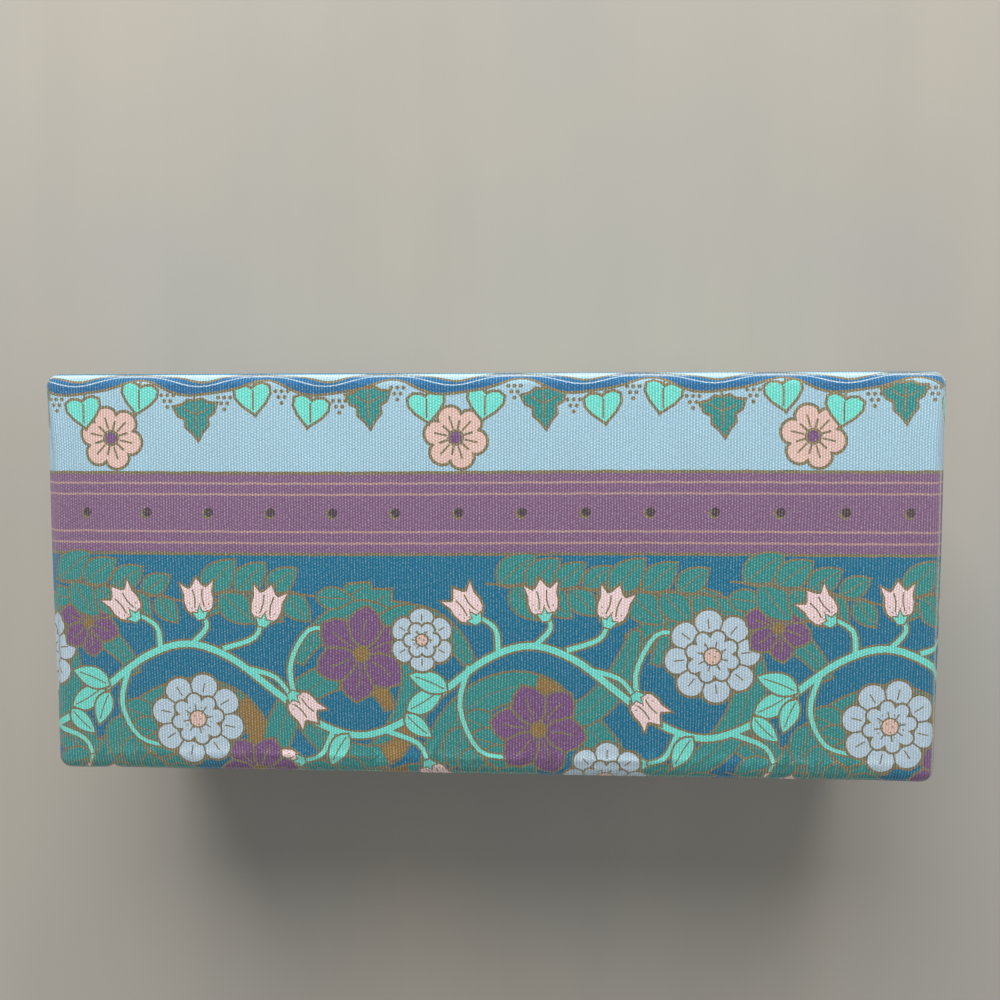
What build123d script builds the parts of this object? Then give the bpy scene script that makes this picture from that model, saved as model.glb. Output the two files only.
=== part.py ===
from build123d import *
import math
import os

# A cloth-covered greyboard keepsake box with a padded lid on a cloth hinge and a peg-and-loop clasp.
# Millimetres. The origin is the middle of the underside, +Z is up, the front is -Y, the hinge is at +Y.

# Outer size of the closed box, over the cloth
box_length = 138.0
box_depth = 63.0
lid_height = 15.0
tray_height = 35.0
corner_radius = 2.0
lid_shoulder_radius = 2.2
lid_crown = 1.0

# Sheet goods
cover_thickness = 0.35
satin_thickness = 0.2
paper_thickness = 0.3
lid_board_thickness = 2.0
wadding_thickness = 3.0
lining_thickness = 1.6

# Clearances
seam_gap = 0.2
collar_gap = 0.4
pad_clearance = 0.2
strap_clearance = 0.3

# Turned-in cloth
lid_turn_in = 5.0
tray_turn_in = 8.0
underside_turn_in = 9.0
paper_margin = 3.0

# Lining
collar_height = 4.0
collar_edge_radius = 0.5
lid_lining_margin = 1.5
floor_pad_thickness = 3.0
lid_pad_thickness = 2.4
pad_corner_radius = 1.5
pad_drawn_in = 0.5
pad_level_shares = [(0, 0), (0, 0.5), (0.12, 0.72), (0.45, 0.86), (2.6, 0.95), (6.5, 1.0)]

# Cloth hinge
hinge_end_margin = 4.0
hinge_reach = 5.0
hinge_lining_thickness = 0.3
hinge_bulge_radius_share = 0.37
hinge_bulge_depth_share = 1.43

# Peg, ribbon and belt loop of the clasp
peg_length = 18.0
peg_head_width = 6.2
peg_tip_width = 2.6
peg_thickness = 1.6
peg_tip_thickness = 0.9
peg_edge_radius = 0.3
peg_depth_below_seam = 14.0
peg_wall_gap = 0.8
eye_width = 4.0
eye_height = 2.2
eye_bridge = 2.2
ribbon_width = 3.2
ribbon_thickness = 0.35
ribbon_bend_radius = 0.7
ribbon_tongue_length = 5.4
loop_height = 3.2
loop_below_seam = 8.0
loop_thickness = 0.5
loop_inner_width = 7.4
loop_tab_length = 3.6
loop_bend_radius = 1.2

# Cutters run past what they cut by this much
overrun = 1.0

# Heights of the layers, from the underside up
seam_z = tray_height
tray_rim_z = seam_z - seam_gap / 2
lid_rim_z = seam_z + seam_gap / 2
closed_height = tray_height + lid_height
tray_board_thickness = lid_board_thickness + satin_thickness + collar_gap
floor_low_z = paper_thickness + cover_thickness
floor_top_z = floor_low_z + tray_board_thickness
tray_board_top_z = tray_rim_z - cover_thickness
lid_board_low_z = lid_rim_z + cover_thickness
lid_board_top_z = closed_height - cover_thickness - wadding_thickness
lid_ceiling_z = lid_board_top_z - lid_board_thickness
collar_top_z = seam_z + collar_height
back_lining_top_z = tray_rim_z - pad_clearance
lid_pad_low_z = lid_ceiling_z - lid_pad_thickness
hinge_bulge_radius = hinge_bulge_radius_share * (lid_pad_low_z - back_lining_top_z)
hinge_bulge_depth = hinge_bulge_depth_share * hinge_bulge_radius
peg_tip_z = seam_z - peg_depth_below_seam
peg_top_z = peg_tip_z + peg_length
eye_top_z = peg_top_z - eye_bridge
eye_low_z = eye_top_z - eye_height

# Plan sizes of the board shell, its insides and the lining
board_length = box_length - 2 * cover_thickness
board_depth = box_depth - 2 * cover_thickness
board_corner_radius = corner_radius - cover_thickness
tray_inner_length = board_length - 2 * tray_board_thickness
tray_inner_depth = board_depth - 2 * tray_board_thickness
lining_outer_length = tray_inner_length - 2 * cover_thickness
lining_outer_depth = tray_inner_depth - 2 * cover_thickness
lining_inner_length = lining_outer_length - 2 * lining_thickness
lining_inner_depth = lining_outer_depth - 2 * lining_thickness
lid_inner_length = board_length - 2 * lid_board_thickness
lid_inner_depth = board_depth - 2 * lid_board_thickness
lid_turned_length = lid_inner_length - 2 * cover_thickness
lid_turned_depth = lid_inner_depth - 2 * cover_thickness
lid_lined_length = lid_turned_length - 2 * satin_thickness
lid_lined_depth = lid_turned_depth - 2 * satin_thickness
hinge_length = box_length - 2 * (corner_radius + hinge_end_margin)
front_y = -box_depth / 2
back_y = box_depth / 2
arch_radius = (back_y**2 + lid_crown**2) / (2 * lid_crown)
arch_centre_z = closed_height - arch_radius


def slab(length, depth, low, high, radius=0):
    # Upright block between two heights, with rounded upright corners where a radius is given
    outline = RectangleRounded(length, depth, radius) if radius > 0 else Rectangle(length, depth)
    return extrude(Plane.XY.offset(low) * outline, high - low)


def box_between(low_corner, high_corner):
    # Block from its lowest to its highest corner
    size = [high - low for low, high in zip(low_corner, high_corner)]
    return Pos(*low_corner) * Box(*size, align=(Align.MIN, Align.MIN, Align.MIN))


def arched_block(length, depth, low, arc_radius, shoulder_radius, end_radius):
    # Block along X whose top is one flat arch across its depth, with rounded shoulders and ends
    half = depth / 2
    side_top = arch_centre_z + math.sqrt(arc_radius**2 - half**2)
    rim = [(-half, side_top), (0, arch_centre_z + arc_radius), (half, side_top)]
    profile = make_face([ThreePointArc(*rim), Polyline(rim[2], (half, low), (-half, low), rim[0])])
    profile = fillet(profile.vertices().sort_by(Axis.Y)[-2:], shoulder_radius)
    block = extrude(Plane.YZ * profile, length / 2, both=True)
    ends = block.faces().sort_by(Axis.X)[0].edges() + block.faces().sort_by(Axis.X)[-1].edges()
    rounded = ends.filter_by(lambda edge: edge.center().Z > low + end_radius)
    return fillet(rounded, end_radius)


def side_wedge(side, length, depth, low, high):
    # The quarter of a rectangle that one side owns, with its ends cut at 45 degrees
    half_length = length / 2
    half_depth = depth / 2
    ridge = half_length - half_depth
    corners = {
        "front": [(-half_length, -half_depth), (half_length, -half_depth), (ridge, 0), (-ridge, 0)],
        "back": [(half_length, half_depth), (-half_length, half_depth), (-ridge, 0), (ridge, 0)],
        "left": [(-half_length, half_depth), (-half_length, -half_depth), (-ridge, 0)],
        "right": [(half_length, -half_depth), (half_length, half_depth), (ridge, 0)],
    }
    outline = make_face(Polyline(*corners[side], close=True))
    return extrude(Plane.XY.offset(low) * outline, high - low)


def lid_core():
    # Everything inside the lid's cover, as one block that the layers are cut from
    return arched_block(
        board_length,
        board_depth,
        lid_board_low_z,
        arch_radius - cover_thickness,
        lid_shoulder_radius - cover_thickness,
        board_corner_radius,
    )


def lid_wadding(core):
    return core & slab(box_length, box_depth, lid_board_top_z, closed_height)


def lid_top_board(core):
    return core & slab(box_length, box_depth, lid_ceiling_z, lid_board_top_z)


def lid_side_board(side):
    # One rail of the lid, mitred at both ends
    ring = slab(board_length, board_depth, lid_board_low_z, lid_ceiling_z, board_corner_radius)
    ring -= slab(lid_inner_length, lid_inner_depth, lid_board_low_z, lid_ceiling_z)
    return ring & side_wedge(side, board_length, board_depth, lid_board_low_z, lid_ceiling_z)


def hinge_slot(low_y, high_y, low_z, high_z):
    # Space along the back where the hinge cloth takes the place of the covers
    half = hinge_length / 2
    return box_between((-half, low_y, low_z), (half, high_y, high_z))


def lid_cover(core):
    # Printed cloth over the wadding and the rails, turned round the rim and pasted up inside
    outer = arched_block(
        box_length, box_depth, lid_rim_z, arch_radius, lid_shoulder_radius, corner_radius
    )
    mouth = slab(lid_turned_length, lid_turned_depth, lid_rim_z - overrun, lid_board_low_z + overrun)
    turn_in_top = lid_rim_z + lid_turn_in
    turn_in = slab(lid_inner_length, lid_inner_depth, lid_rim_z, turn_in_top)
    turn_in -= slab(lid_turned_length, lid_turned_depth, lid_rim_z, turn_in_top)
    shell = outer - core - mouth + turn_in
    low = lid_rim_z - overrun
    shell -= hinge_slot(board_depth / 2, back_y + overrun, low, seam_z + hinge_reach)
    return shell - hinge_slot(lid_turned_depth / 2 - overrun, board_depth / 2, low, turn_in_top + overrun)


def lid_side_lining():
    # Satin strip round the inside of the rails, a little up from the rim
    low = lid_rim_z + lid_lining_margin
    ring = slab(lid_turned_length, lid_turned_depth, low, lid_ceiling_z)
    return ring - slab(lid_lined_length, lid_lined_depth, low, lid_ceiling_z)


def pad_outline(length, depth, inset, height):
    # One level of a pad: sides drawn in between rounded corners
    half_length = length / 2 - inset
    half_depth = depth / 2 - inset
    waist_length = half_length - pad_drawn_in
    waist_depth = half_depth - pad_drawn_in
    corners = [
        (-half_length, -half_depth),
        (half_length, -half_depth),
        (half_length, half_depth),
        (-half_length, half_depth),
    ]
    waists = [(0, -waist_depth), (waist_length, 0), (0, waist_depth), (-waist_length, 0)]
    sides = [ThreePointArc(corners[i], waists[i], corners[(i + 1) % 4]) for i in range(4)]
    outline = make_face(sides)
    return Plane.XY.offset(height) * fillet(outline.vertices(), pad_corner_radius)


def pad(length, depth, low, thickness):
    # Stuffed pad, lofted through levels that close in slowly at its edge and fast over its crown
    levels = [
        pad_outline(length, depth, inset * thickness, low + height * thickness)
        for inset, height in pad_level_shares
    ]
    return loft(levels, ruled=True)


def lid_lining_pad():
    # The pad hangs under the lid's top board, arched downwards
    length = lid_lined_length - 2 * pad_clearance
    depth = lid_lined_depth - 2 * (pad_clearance + hinge_lining_thickness)
    upright = pad(length, depth, 0, lid_pad_thickness)
    return Pos(0, 0, lid_ceiling_z) * Rot(180, 0, 0) * upright


def tray_floor_board():
    return slab(board_length, board_depth, floor_low_z, floor_top_z, board_corner_radius)


def tray_side_board(side):
    # One wall of the tray, standing on the floor board and mitred at both ends
    ring = slab(board_length, board_depth, floor_top_z, tray_board_top_z, board_corner_radius)
    ring -= slab(tray_inner_length, tray_inner_depth, floor_top_z, tray_board_top_z)
    return ring & side_wedge(side, board_length, board_depth, floor_top_z, tray_board_top_z)


def tray_cover():
    # Printed cloth round the walls, over the rim, pasted down inside and in under the floor
    outer = slab(box_length, box_depth, paper_thickness, tray_rim_z, corner_radius)
    boards = slab(board_length, board_depth, floor_low_z, tray_board_top_z, board_corner_radius)
    mouth = slab(lining_outer_length, lining_outer_depth, tray_board_top_z - overrun, tray_rim_z + overrun)
    under_length = box_length - 2 * underside_turn_in
    under_depth = box_depth - 2 * underside_turn_in
    under = slab(under_length, under_depth, paper_thickness - overrun, floor_low_z + overrun)
    low = tray_rim_z - tray_turn_in
    turn_in = slab(tray_inner_length, tray_inner_depth, low, tray_rim_z)
    turn_in -= slab(lining_outer_length, lining_outer_depth, low, tray_rim_z)
    shell = outer - boards - mouth - under + turn_in
    high = tray_rim_z + overrun
    shell -= hinge_slot(board_depth / 2, back_y + overrun, seam_z - hinge_reach, high)
    return shell - hinge_slot(lining_outer_depth / 2 - overrun, board_depth / 2, low - overrun, high)


def underside_paper():
    # Sheet pasted over the turned-in cloth, pressed up against the floor board inside it
    length = box_length - 2 * paper_margin
    depth = box_depth - 2 * paper_margin
    sheet = slab(length, depth, 0, paper_thickness, corner_radius)
    under_length = box_length - 2 * underside_turn_in
    under_depth = box_depth - 2 * underside_turn_in
    return sheet + slab(under_length, under_depth, 0, floor_low_z)


def floor_pad():
    length = lining_inner_length - 2 * pad_clearance
    depth = lining_inner_depth - 2 * pad_clearance
    return pad(length, depth, floor_top_z, floor_pad_thickness)


def lining_panel(low_corner, high_corner, run_axis):
    # Satin-covered card with its two long top edges rounded
    panel = box_between(low_corner, high_corner)
    top_edges = panel.faces().sort_by(Axis.Z)[-1].edges().filter_by(run_axis)
    return fillet(top_edges, collar_edge_radius)


def lining_side(sign):
    # Left or right lining, as deep as the tray
    inner = lining_inner_length / 2
    outer = lining_outer_length / 2
    low_x, high_x = (inner, outer) if sign > 0 else (-outer, -inner)
    half = lining_outer_depth / 2
    return lining_panel((low_x, -half, floor_top_z), (high_x, half, collar_top_z), Axis.Y)


def lining_front():
    half = lining_inner_length / 2
    low_corner = (-half, -lining_outer_depth / 2, floor_top_z)
    return lining_panel(low_corner, (half, -lining_inner_depth / 2, collar_top_z), Axis.X)


def lining_back():
    # The back lining ends at the rim, so that the slack hinge lining can fold in over it
    half = lining_inner_length / 2
    low_corner = (-half, lining_inner_depth / 2, floor_top_z)
    return lining_panel(low_corner, (half, lining_outer_depth / 2, back_lining_top_z), Axis.X)


def hinge_cloth():
    # The cloth across the back seam, level with both covers
    half = hinge_length / 2
    low_corner = (-half, board_depth / 2, seam_z - hinge_reach)
    return box_between(low_corner, (half, back_y, seam_z + hinge_reach))


def hinge_lining():
    # Satin strip pasted to the lid's back rail, with the slack that an open lid draws straight
    lid_face_y = lid_lined_depth / 2
    half_thickness = hinge_lining_thickness / 2
    bulge_y = lid_face_y - hinge_bulge_depth + hinge_bulge_radius
    bulge_z = back_lining_top_z + hinge_bulge_radius + half_thickness
    ring = Circle(hinge_bulge_radius + half_thickness) - Circle(hinge_bulge_radius - half_thickness)
    ring = Pos(bulge_y, bulge_z) * ring
    reach = hinge_bulge_depth + hinge_bulge_radius
    inside = Pos(lid_face_y - reach, bulge_z) * Rectangle(2 * reach, 2 * reach)
    rise = math.sqrt(hinge_bulge_radius**2 - (lid_face_y - bulge_y) ** 2)
    leg_low = bulge_z + rise - hinge_lining_thickness
    leg_height = lid_ceiling_z - leg_low
    leg = Pos(lid_face_y - half_thickness, leg_low + leg_height / 2) * Rectangle(
        hinge_lining_thickness, leg_height
    )
    profile = Plane.YZ * ((ring & inside) + leg)
    return extrude(profile, hinge_length / 2 - strap_clearance, both=True)


def peg_outline():
    # Front view of the peg: a round head and a narrow round tip joined by their tangent lines
    head_radius = peg_head_width / 2
    tip_radius = peg_tip_width / 2
    head_z = peg_top_z - head_radius
    tip_z = peg_tip_z + tip_radius
    lean = math.asin((head_radius - tip_radius) / (head_z - tip_z))
    across = math.cos(lean)
    down = math.sin(lean)
    head_side = (head_radius * across, head_z - head_radius * down)
    tip_side = (tip_radius * across, tip_z - tip_radius * down)
    return make_face(
        [
            ThreePointArc((-head_side[0], head_side[1]), (0, peg_top_z), head_side),
            Line(head_side, tip_side),
            ThreePointArc(tip_side, (0, peg_tip_z), (-tip_side[0], tip_side[1])),
            Line((-tip_side[0], tip_side[1]), (-head_side[0], head_side[1])),
        ]
    )


def clasp_peg():
    # Flat peg with soft edges, planed thinner towards its tip, with a slot in its head for the ribbon
    middle_y = front_y - peg_wall_gap - peg_thickness / 2
    half = peg_thickness / 2
    tip_half = peg_tip_thickness / 2
    blank = extrude(Plane.XZ * peg_outline(), half, both=True)
    faces = blank.faces().sort_by(Axis.Y)
    blank = Pos(0, middle_y, 0) * fillet(faces[0].edges() + faces[-1].edges(), peg_edge_radius)
    side_outline = make_face(
        Polyline(
            (middle_y - peg_thickness, peg_top_z + overrun),
            (middle_y - peg_thickness, seam_z),
            (middle_y - half, seam_z),
            (middle_y - tip_half, peg_tip_z),
            (middle_y + tip_half, peg_tip_z),
            (middle_y + half, seam_z),
            (middle_y + peg_thickness, seam_z),
            (middle_y + peg_thickness, peg_top_z + overrun),
            close=True,
        )
    )
    peg = blank & extrude(Plane.YZ * side_outline, peg_head_width, both=True)
    slot = RectangleRounded(eye_width, eye_height, eye_height / 2 - peg_edge_radius)
    slot = Plane.XZ * (Pos(0, (eye_low_z + eye_top_z) / 2) * slot)
    return peg - Pos(0, middle_y, 0) * extrude(slot, peg_thickness, both=True)


def clasp_ribbon():
    # Ring of ribbon through the eye and round the head, with its two ends laid together on the lid
    back_gap = (peg_wall_gap - ribbon_thickness) / 2
    outer_back = front_y - back_gap
    inner_back = outer_back - ribbon_thickness
    inner_front = front_y - peg_wall_gap - peg_thickness - back_gap
    inner_low = eye_top_z - back_gap
    inner_top = peg_top_z + back_gap
    inner_width = inner_back - inner_front
    inner_height = inner_top - inner_low
    middle = Pos((inner_back + inner_front) / 2, (inner_top + inner_low) / 2)
    outer_radius = ribbon_bend_radius + ribbon_thickness
    ring = RectangleRounded(
        inner_width + 2 * ribbon_thickness, inner_height + 2 * ribbon_thickness, outer_radius
    )
    hole = RectangleRounded(inner_width, inner_height, ribbon_bend_radius)
    shoulder = inner_top + ribbon_thickness
    tongue_front = front_y - 2 * ribbon_thickness
    tongue = make_face(
        Polyline(
            (front_y, shoulder - outer_radius),
            (front_y, shoulder + ribbon_tongue_length),
            (tongue_front, shoulder + ribbon_tongue_length),
            (tongue_front, shoulder + outer_radius),
            (inner_front + ribbon_bend_radius, shoulder - ribbon_thickness / 2),
            (outer_back, inner_top - outer_radius),
            close=True,
        )
    )
    profile = (middle * ring) + tongue - (middle * hole)
    return extrude(Plane.YZ * profile, ribbon_width / 2, both=True)


def loop_front_y():
    # The loop's inside stands out far enough for the peg's tip to swing out past its upper edge
    tip_half = peg_tip_thickness / 2
    tip_reach = box_depth + peg_wall_gap + peg_thickness / 2 + tip_half
    lift = peg_depth_below_seam - loop_below_seam
    angle = math.asin(lift / tip_reach)
    swung = tip_reach * math.cos(angle) + peg_depth_below_seam * math.sin(angle)
    return back_y - swung - strap_clearance


def clasp_loop():
    # Belt loop: a raised band with its two ends laid flat on the tray's front
    inner_y = loop_front_y()
    outer_y = inner_y - loop_thickness
    tab_y = front_y - loop_thickness
    half = loop_inner_width / 2
    tab = half + loop_thickness + loop_tab_length
    outer_half = half + loop_thickness
    outline = make_face(
        Polyline(
            (-tab, front_y),
            (-half, front_y),
            (-half, inner_y),
            (half, inner_y),
            (half, front_y),
            (tab, front_y),
            (tab, tab_y),
            (outer_half, tab_y),
            (outer_half, outer_y),
            (-outer_half, outer_y),
            (-outer_half, tab_y),
            (-tab, tab_y),
            close=True,
        )
    )
    outline = fillet(outline.vertices().sort_by(Axis.Y)[:2], loop_bend_radius)
    inner_corners = outline.vertices().filter_by(lambda v: abs(v.Y - inner_y) < loop_thickness / 2)
    outline = fillet(inner_corners, loop_bend_radius - loop_thickness)
    low = seam_z - loop_below_seam - loop_height
    return extrude(Plane.XY.offset(low) * outline, loop_height)


core = lid_core()
parts = {
    "lid_wadding": lid_wadding(core),
    "lid_top_board": lid_top_board(core),
    "lid_cover": lid_cover(core),
    "lid_side_lining": lid_side_lining(),
    "lid_lining_pad": lid_lining_pad(),
    "base_floor_board": tray_floor_board(),
    "base_cover": tray_cover(),
    "base_underside_paper": underside_paper(),
    "base_floor_pad": floor_pad(),
    "lining_front": lining_front(),
    "lining_back": lining_back(),
    "lining_left": lining_side(-1),
    "lining_right": lining_side(1),
    "hinge_cloth": hinge_cloth(),
    "hinge_lining": hinge_lining(),
    "clasp_peg": clasp_peg(),
    "clasp_ribbon": clasp_ribbon(),
    "clasp_loop": clasp_loop(),
}
for side in ("front", "back", "left", "right"):
    parts[f"lid_{side}_board"] = lid_side_board(side)
    parts[f"base_{side}_board"] = tray_side_board(side)

os.makedirs("parts", exist_ok=True)
for node, shape in parts.items():
    export_step(shape, f"parts/{node}.step")
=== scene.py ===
import bpy
import bmesh
import math
import numpy as np
from mathutils import Matrix, Vector, geometry, kdtree, noise


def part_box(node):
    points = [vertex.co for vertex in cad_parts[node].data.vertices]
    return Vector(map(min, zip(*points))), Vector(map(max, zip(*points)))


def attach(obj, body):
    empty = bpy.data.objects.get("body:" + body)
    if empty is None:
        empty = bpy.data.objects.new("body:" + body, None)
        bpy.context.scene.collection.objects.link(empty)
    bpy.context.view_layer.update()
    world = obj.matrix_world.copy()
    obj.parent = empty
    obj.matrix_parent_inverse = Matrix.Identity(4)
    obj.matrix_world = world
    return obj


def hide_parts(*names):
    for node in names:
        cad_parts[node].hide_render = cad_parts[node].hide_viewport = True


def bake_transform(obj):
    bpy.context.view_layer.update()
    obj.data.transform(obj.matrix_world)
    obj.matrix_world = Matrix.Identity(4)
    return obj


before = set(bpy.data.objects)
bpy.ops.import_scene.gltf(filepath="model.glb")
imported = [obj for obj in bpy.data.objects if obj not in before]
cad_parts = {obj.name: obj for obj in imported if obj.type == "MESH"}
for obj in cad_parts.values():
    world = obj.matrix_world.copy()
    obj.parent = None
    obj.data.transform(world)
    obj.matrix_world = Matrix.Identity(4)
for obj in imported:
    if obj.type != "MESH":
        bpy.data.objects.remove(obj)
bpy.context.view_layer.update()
mm = 0.001


def say(stage):
    print("stage:", stage)


def makeActive(piece):
    for item in list(bpy.context.selected_objects):
        item.select_set(False)
    piece.select_set(True)
    bpy.context.view_layer.objects.active = piece


def applyModifiers(piece):
    makeActive(piece)
    for modifier in list(piece.modifiers):
        bpy.ops.object.modifier_apply(modifier=modifier.name)


def settle(piece):
    # origin at zero, unturned, unscaled
    makeActive(piece)
    bpy.ops.object.transform_apply(location=True, rotation=True, scale=True)


def editMesh(piece, change):
    # makes one change to the mesh in edit mode
    makeActive(piece)
    bpy.ops.object.mode_set(mode="EDIT")
    mesh = bmesh.from_edit_mesh(piece.data)
    change(mesh)
    bmesh.update_edit_mesh(piece.data)
    bpy.ops.object.mode_set(mode="OBJECT")


def smoothStep(value, low, high):
    t = min(1.0, max(0.0, (value - low) / (high - low)))
    return t * t * (3 - 2 * t)


def linearColour(red, green, blue):
    # screen colour 0 to 255 into scene-linear
    return tuple(
        (c / 255 / 12.92) if c / 255 <= 0.04045 else ((c / 255 + 0.055) / 1.055) ** 2.4
        for c in (red, green, blue)
    )


cameraSetup = {
    "place": (0.01031, 0.02450, 0.20097),
    "right": (0.9986, -0.0010, -0.0530),
    "back": (0.0529, 0.0810, 0.9953),
    "lens": 36.0,
    "sensor": 36.0,
    "nearest": 0.01,
}


def makeCamera():
    back = Vector(cameraSetup["back"]).normalized()
    right = Vector(cameraSetup["right"])
    right = (right - back * right.dot(back)).normalized()
    bpy.ops.object.camera_add(location=cameraSetup["place"])
    camera = bpy.context.object
    camera.name = "camera"
    camera.rotation_euler = Matrix((right, back.cross(right), back)).transposed().to_euler()
    camera.data.lens = cameraSetup["lens"]
    camera.data.sensor_width = cameraSetup["sensor"]
    camera.data.clip_start = cameraSetup["nearest"]
    bpy.context.scene.camera = camera


makeCamera()
say("camera")


def newMaterial(name):
    material = bpy.data.materials.new(name)
    material.use_nodes = True
    tree = material.node_tree
    return material, tree, tree.nodes["Principled BSDF"]


def addNode(tree, kind, **values):
    node = tree.nodes.new(kind)
    for key, value in values.items():
        setattr(node, key, value)
    return node


def feed(tree, socket, value):
    # a number, a colour or another node's output
    if isinstance(value, (int, float)):
        socket.default_value = value
    elif isinstance(value, tuple):
        socket.default_value = (*value, 1)
    elif value is not None:
        tree.links.new(value, socket)


def feedAll(tree, node, values):
    for key, value in values.items():
        feed(tree, node.inputs[key], value)


def calc(tree, operation, a, b=None):
    node = addNode(tree, "ShaderNodeMath", operation=operation)
    feedAll(tree, node, {0: a, 1: b})
    return node.outputs[0]


def plus(tree, a, b):
    return calc(tree, "ADD", a, b)


def times(tree, a, b):
    return calc(tree, "MULTIPLY", a, b)


def mixColour(tree, factor, a, b):
    node = addNode(tree, "ShaderNodeMix", data_type="RGBA", blend_type="MIX")
    feedAll(tree, node, {0: factor, 6: a, 7: b})
    return node.outputs[2]


def noiseOn(tree, place, scale, detail=2.0, roughness=0.5):
    if isinstance(scale, tuple):  # drawn out along an axis
        stretch = addNode(tree, "ShaderNodeMapping")
        stretch.inputs["Scale"].default_value = scale
        tree.links.new(place, stretch.inputs["Vector"])
        place, scale = stretch.outputs[0], 1.0
    node = addNode(tree, "ShaderNodeTexNoise")
    feedAll(tree, node, {"Vector": place, "Scale": scale, "Detail": detail, "Roughness": roughness})
    return node.outputs[0]


def addBump(tree, shader, height, strength, distance):
    bump = addNode(tree, "ShaderNodeBump")
    feedAll(tree, bump, {"Strength": strength, "Distance": distance, "Height": height})
    tree.links.new(bump.outputs[0], shader.inputs["Normal"])


def mapRange(tree, value, low, high, outLow, outHigh):
    node = addNode(tree, "ShaderNodeMapRange")
    feedAll(tree, node, {0: value, 1: low, 2: high, 3: outLow, 4: outHigh})
    return node.outputs[0]


def clothMap(tree):
    # the piece's own map, in which one unit is 100 mm, and its two ways
    place = addNode(tree, "ShaderNodeUVMap", uv_map="fabric").outputs[0]
    split = addNode(tree, "ShaderNodeSeparateXYZ")
    tree.links.new(place, split.inputs[0])
    return place, split.outputs[0], split.outputs[1]


def threadWave(tree, way, turns, lean=0.0):
    return calc(tree, "COSINE", plus(tree, times(tree, way, turns), lean))


def centred(tree, value, amount):
    return times(tree, calc(tree, "SUBTRACT", value, 0.5), amount)


clothLook = {
    "warpPitch": 0.437,  # mm across
    "weftPitch": 0.219,  # mm down
    "lean": 2.2,
    "leanScale": 22.0,
    "brick": 0.6,
    "rib": 1.6,
    "weaveDepth": 0.00004,
    # the weave's brightness in the colour is painted shade in its gaps and painted highlight on its
    # crossings; the thread and blotch tones are random
    "weaveShade": 0.125,
    "threadTone": 0.52,
    "threadScale": 260.0,
    "blotchTone": 0.12,
    "blotchScale": 9.0,
    # speck colour and amount: partly the fibre's white, partly painted highlight on the raised crossings
    "speckAndHighlight": 0.34,
    "speckAndHighlightColour": (210, 214, 210),
    "goldMottle": 0.65,
    "mottleScale": 190.0,
    "mottleGrain": (0.46, 0.62),
    "goldGap": (86, 108, 104),
    "wearAndHighlightColour": (222, 230, 222),
    # paler folded edges: rubbed print and painted highlight, strongest at the back and on the right where
    # the light falls
    "wornAndLitEdges": (  # way, fold, reach, strength
        (1, 31.9, 0.85, 0.7), (1, -31.7, 0.7, 0.25), (0, 69.2, 0.9, 0.85), (0, -69.1, 0.6, 0.3),
    ),
    "wornAndLitThreads": (0.36, 0.62, 0.25, 1.0),
    "speckAndHighlightThreads": (0.40, 0.70),
    "raisedFrom": 0.35,
    "threadRelief": 0.8,
    "roughness": 0.86,
    "goldRoughness": 0.50,
    "goldMetal": 0.40,
    "shader": {"Sheen Weight": 0.12, "Sheen Roughness": 0.5, "Specular IOR Level": 0.25},
}


def edgeWearAndHighlight(tree, ways, thread):
    # how far the print is rubbed off along the lid's folded edges, plus a painted highlight on the edges
    # that face the light, most at the back and on the right
    wornAndLit = None
    for way, fold, reach, strength in clothLook["wornAndLitEdges"]:
        away = calc(tree, "SUBTRACT", times(tree, ways[way], 100.0), fold)
        share = mapRange(tree, calc(tree, "ABSOLUTE", away), 0.1, reach, strength, 0.0)
        wornAndLit = share if wornAndLit is None else calc(tree, "MAXIMUM", wornAndLit, share)
    return times(tree, wornAndLit, mapRange(tree, thread, *clothLook["wornAndLitThreads"]))


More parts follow.
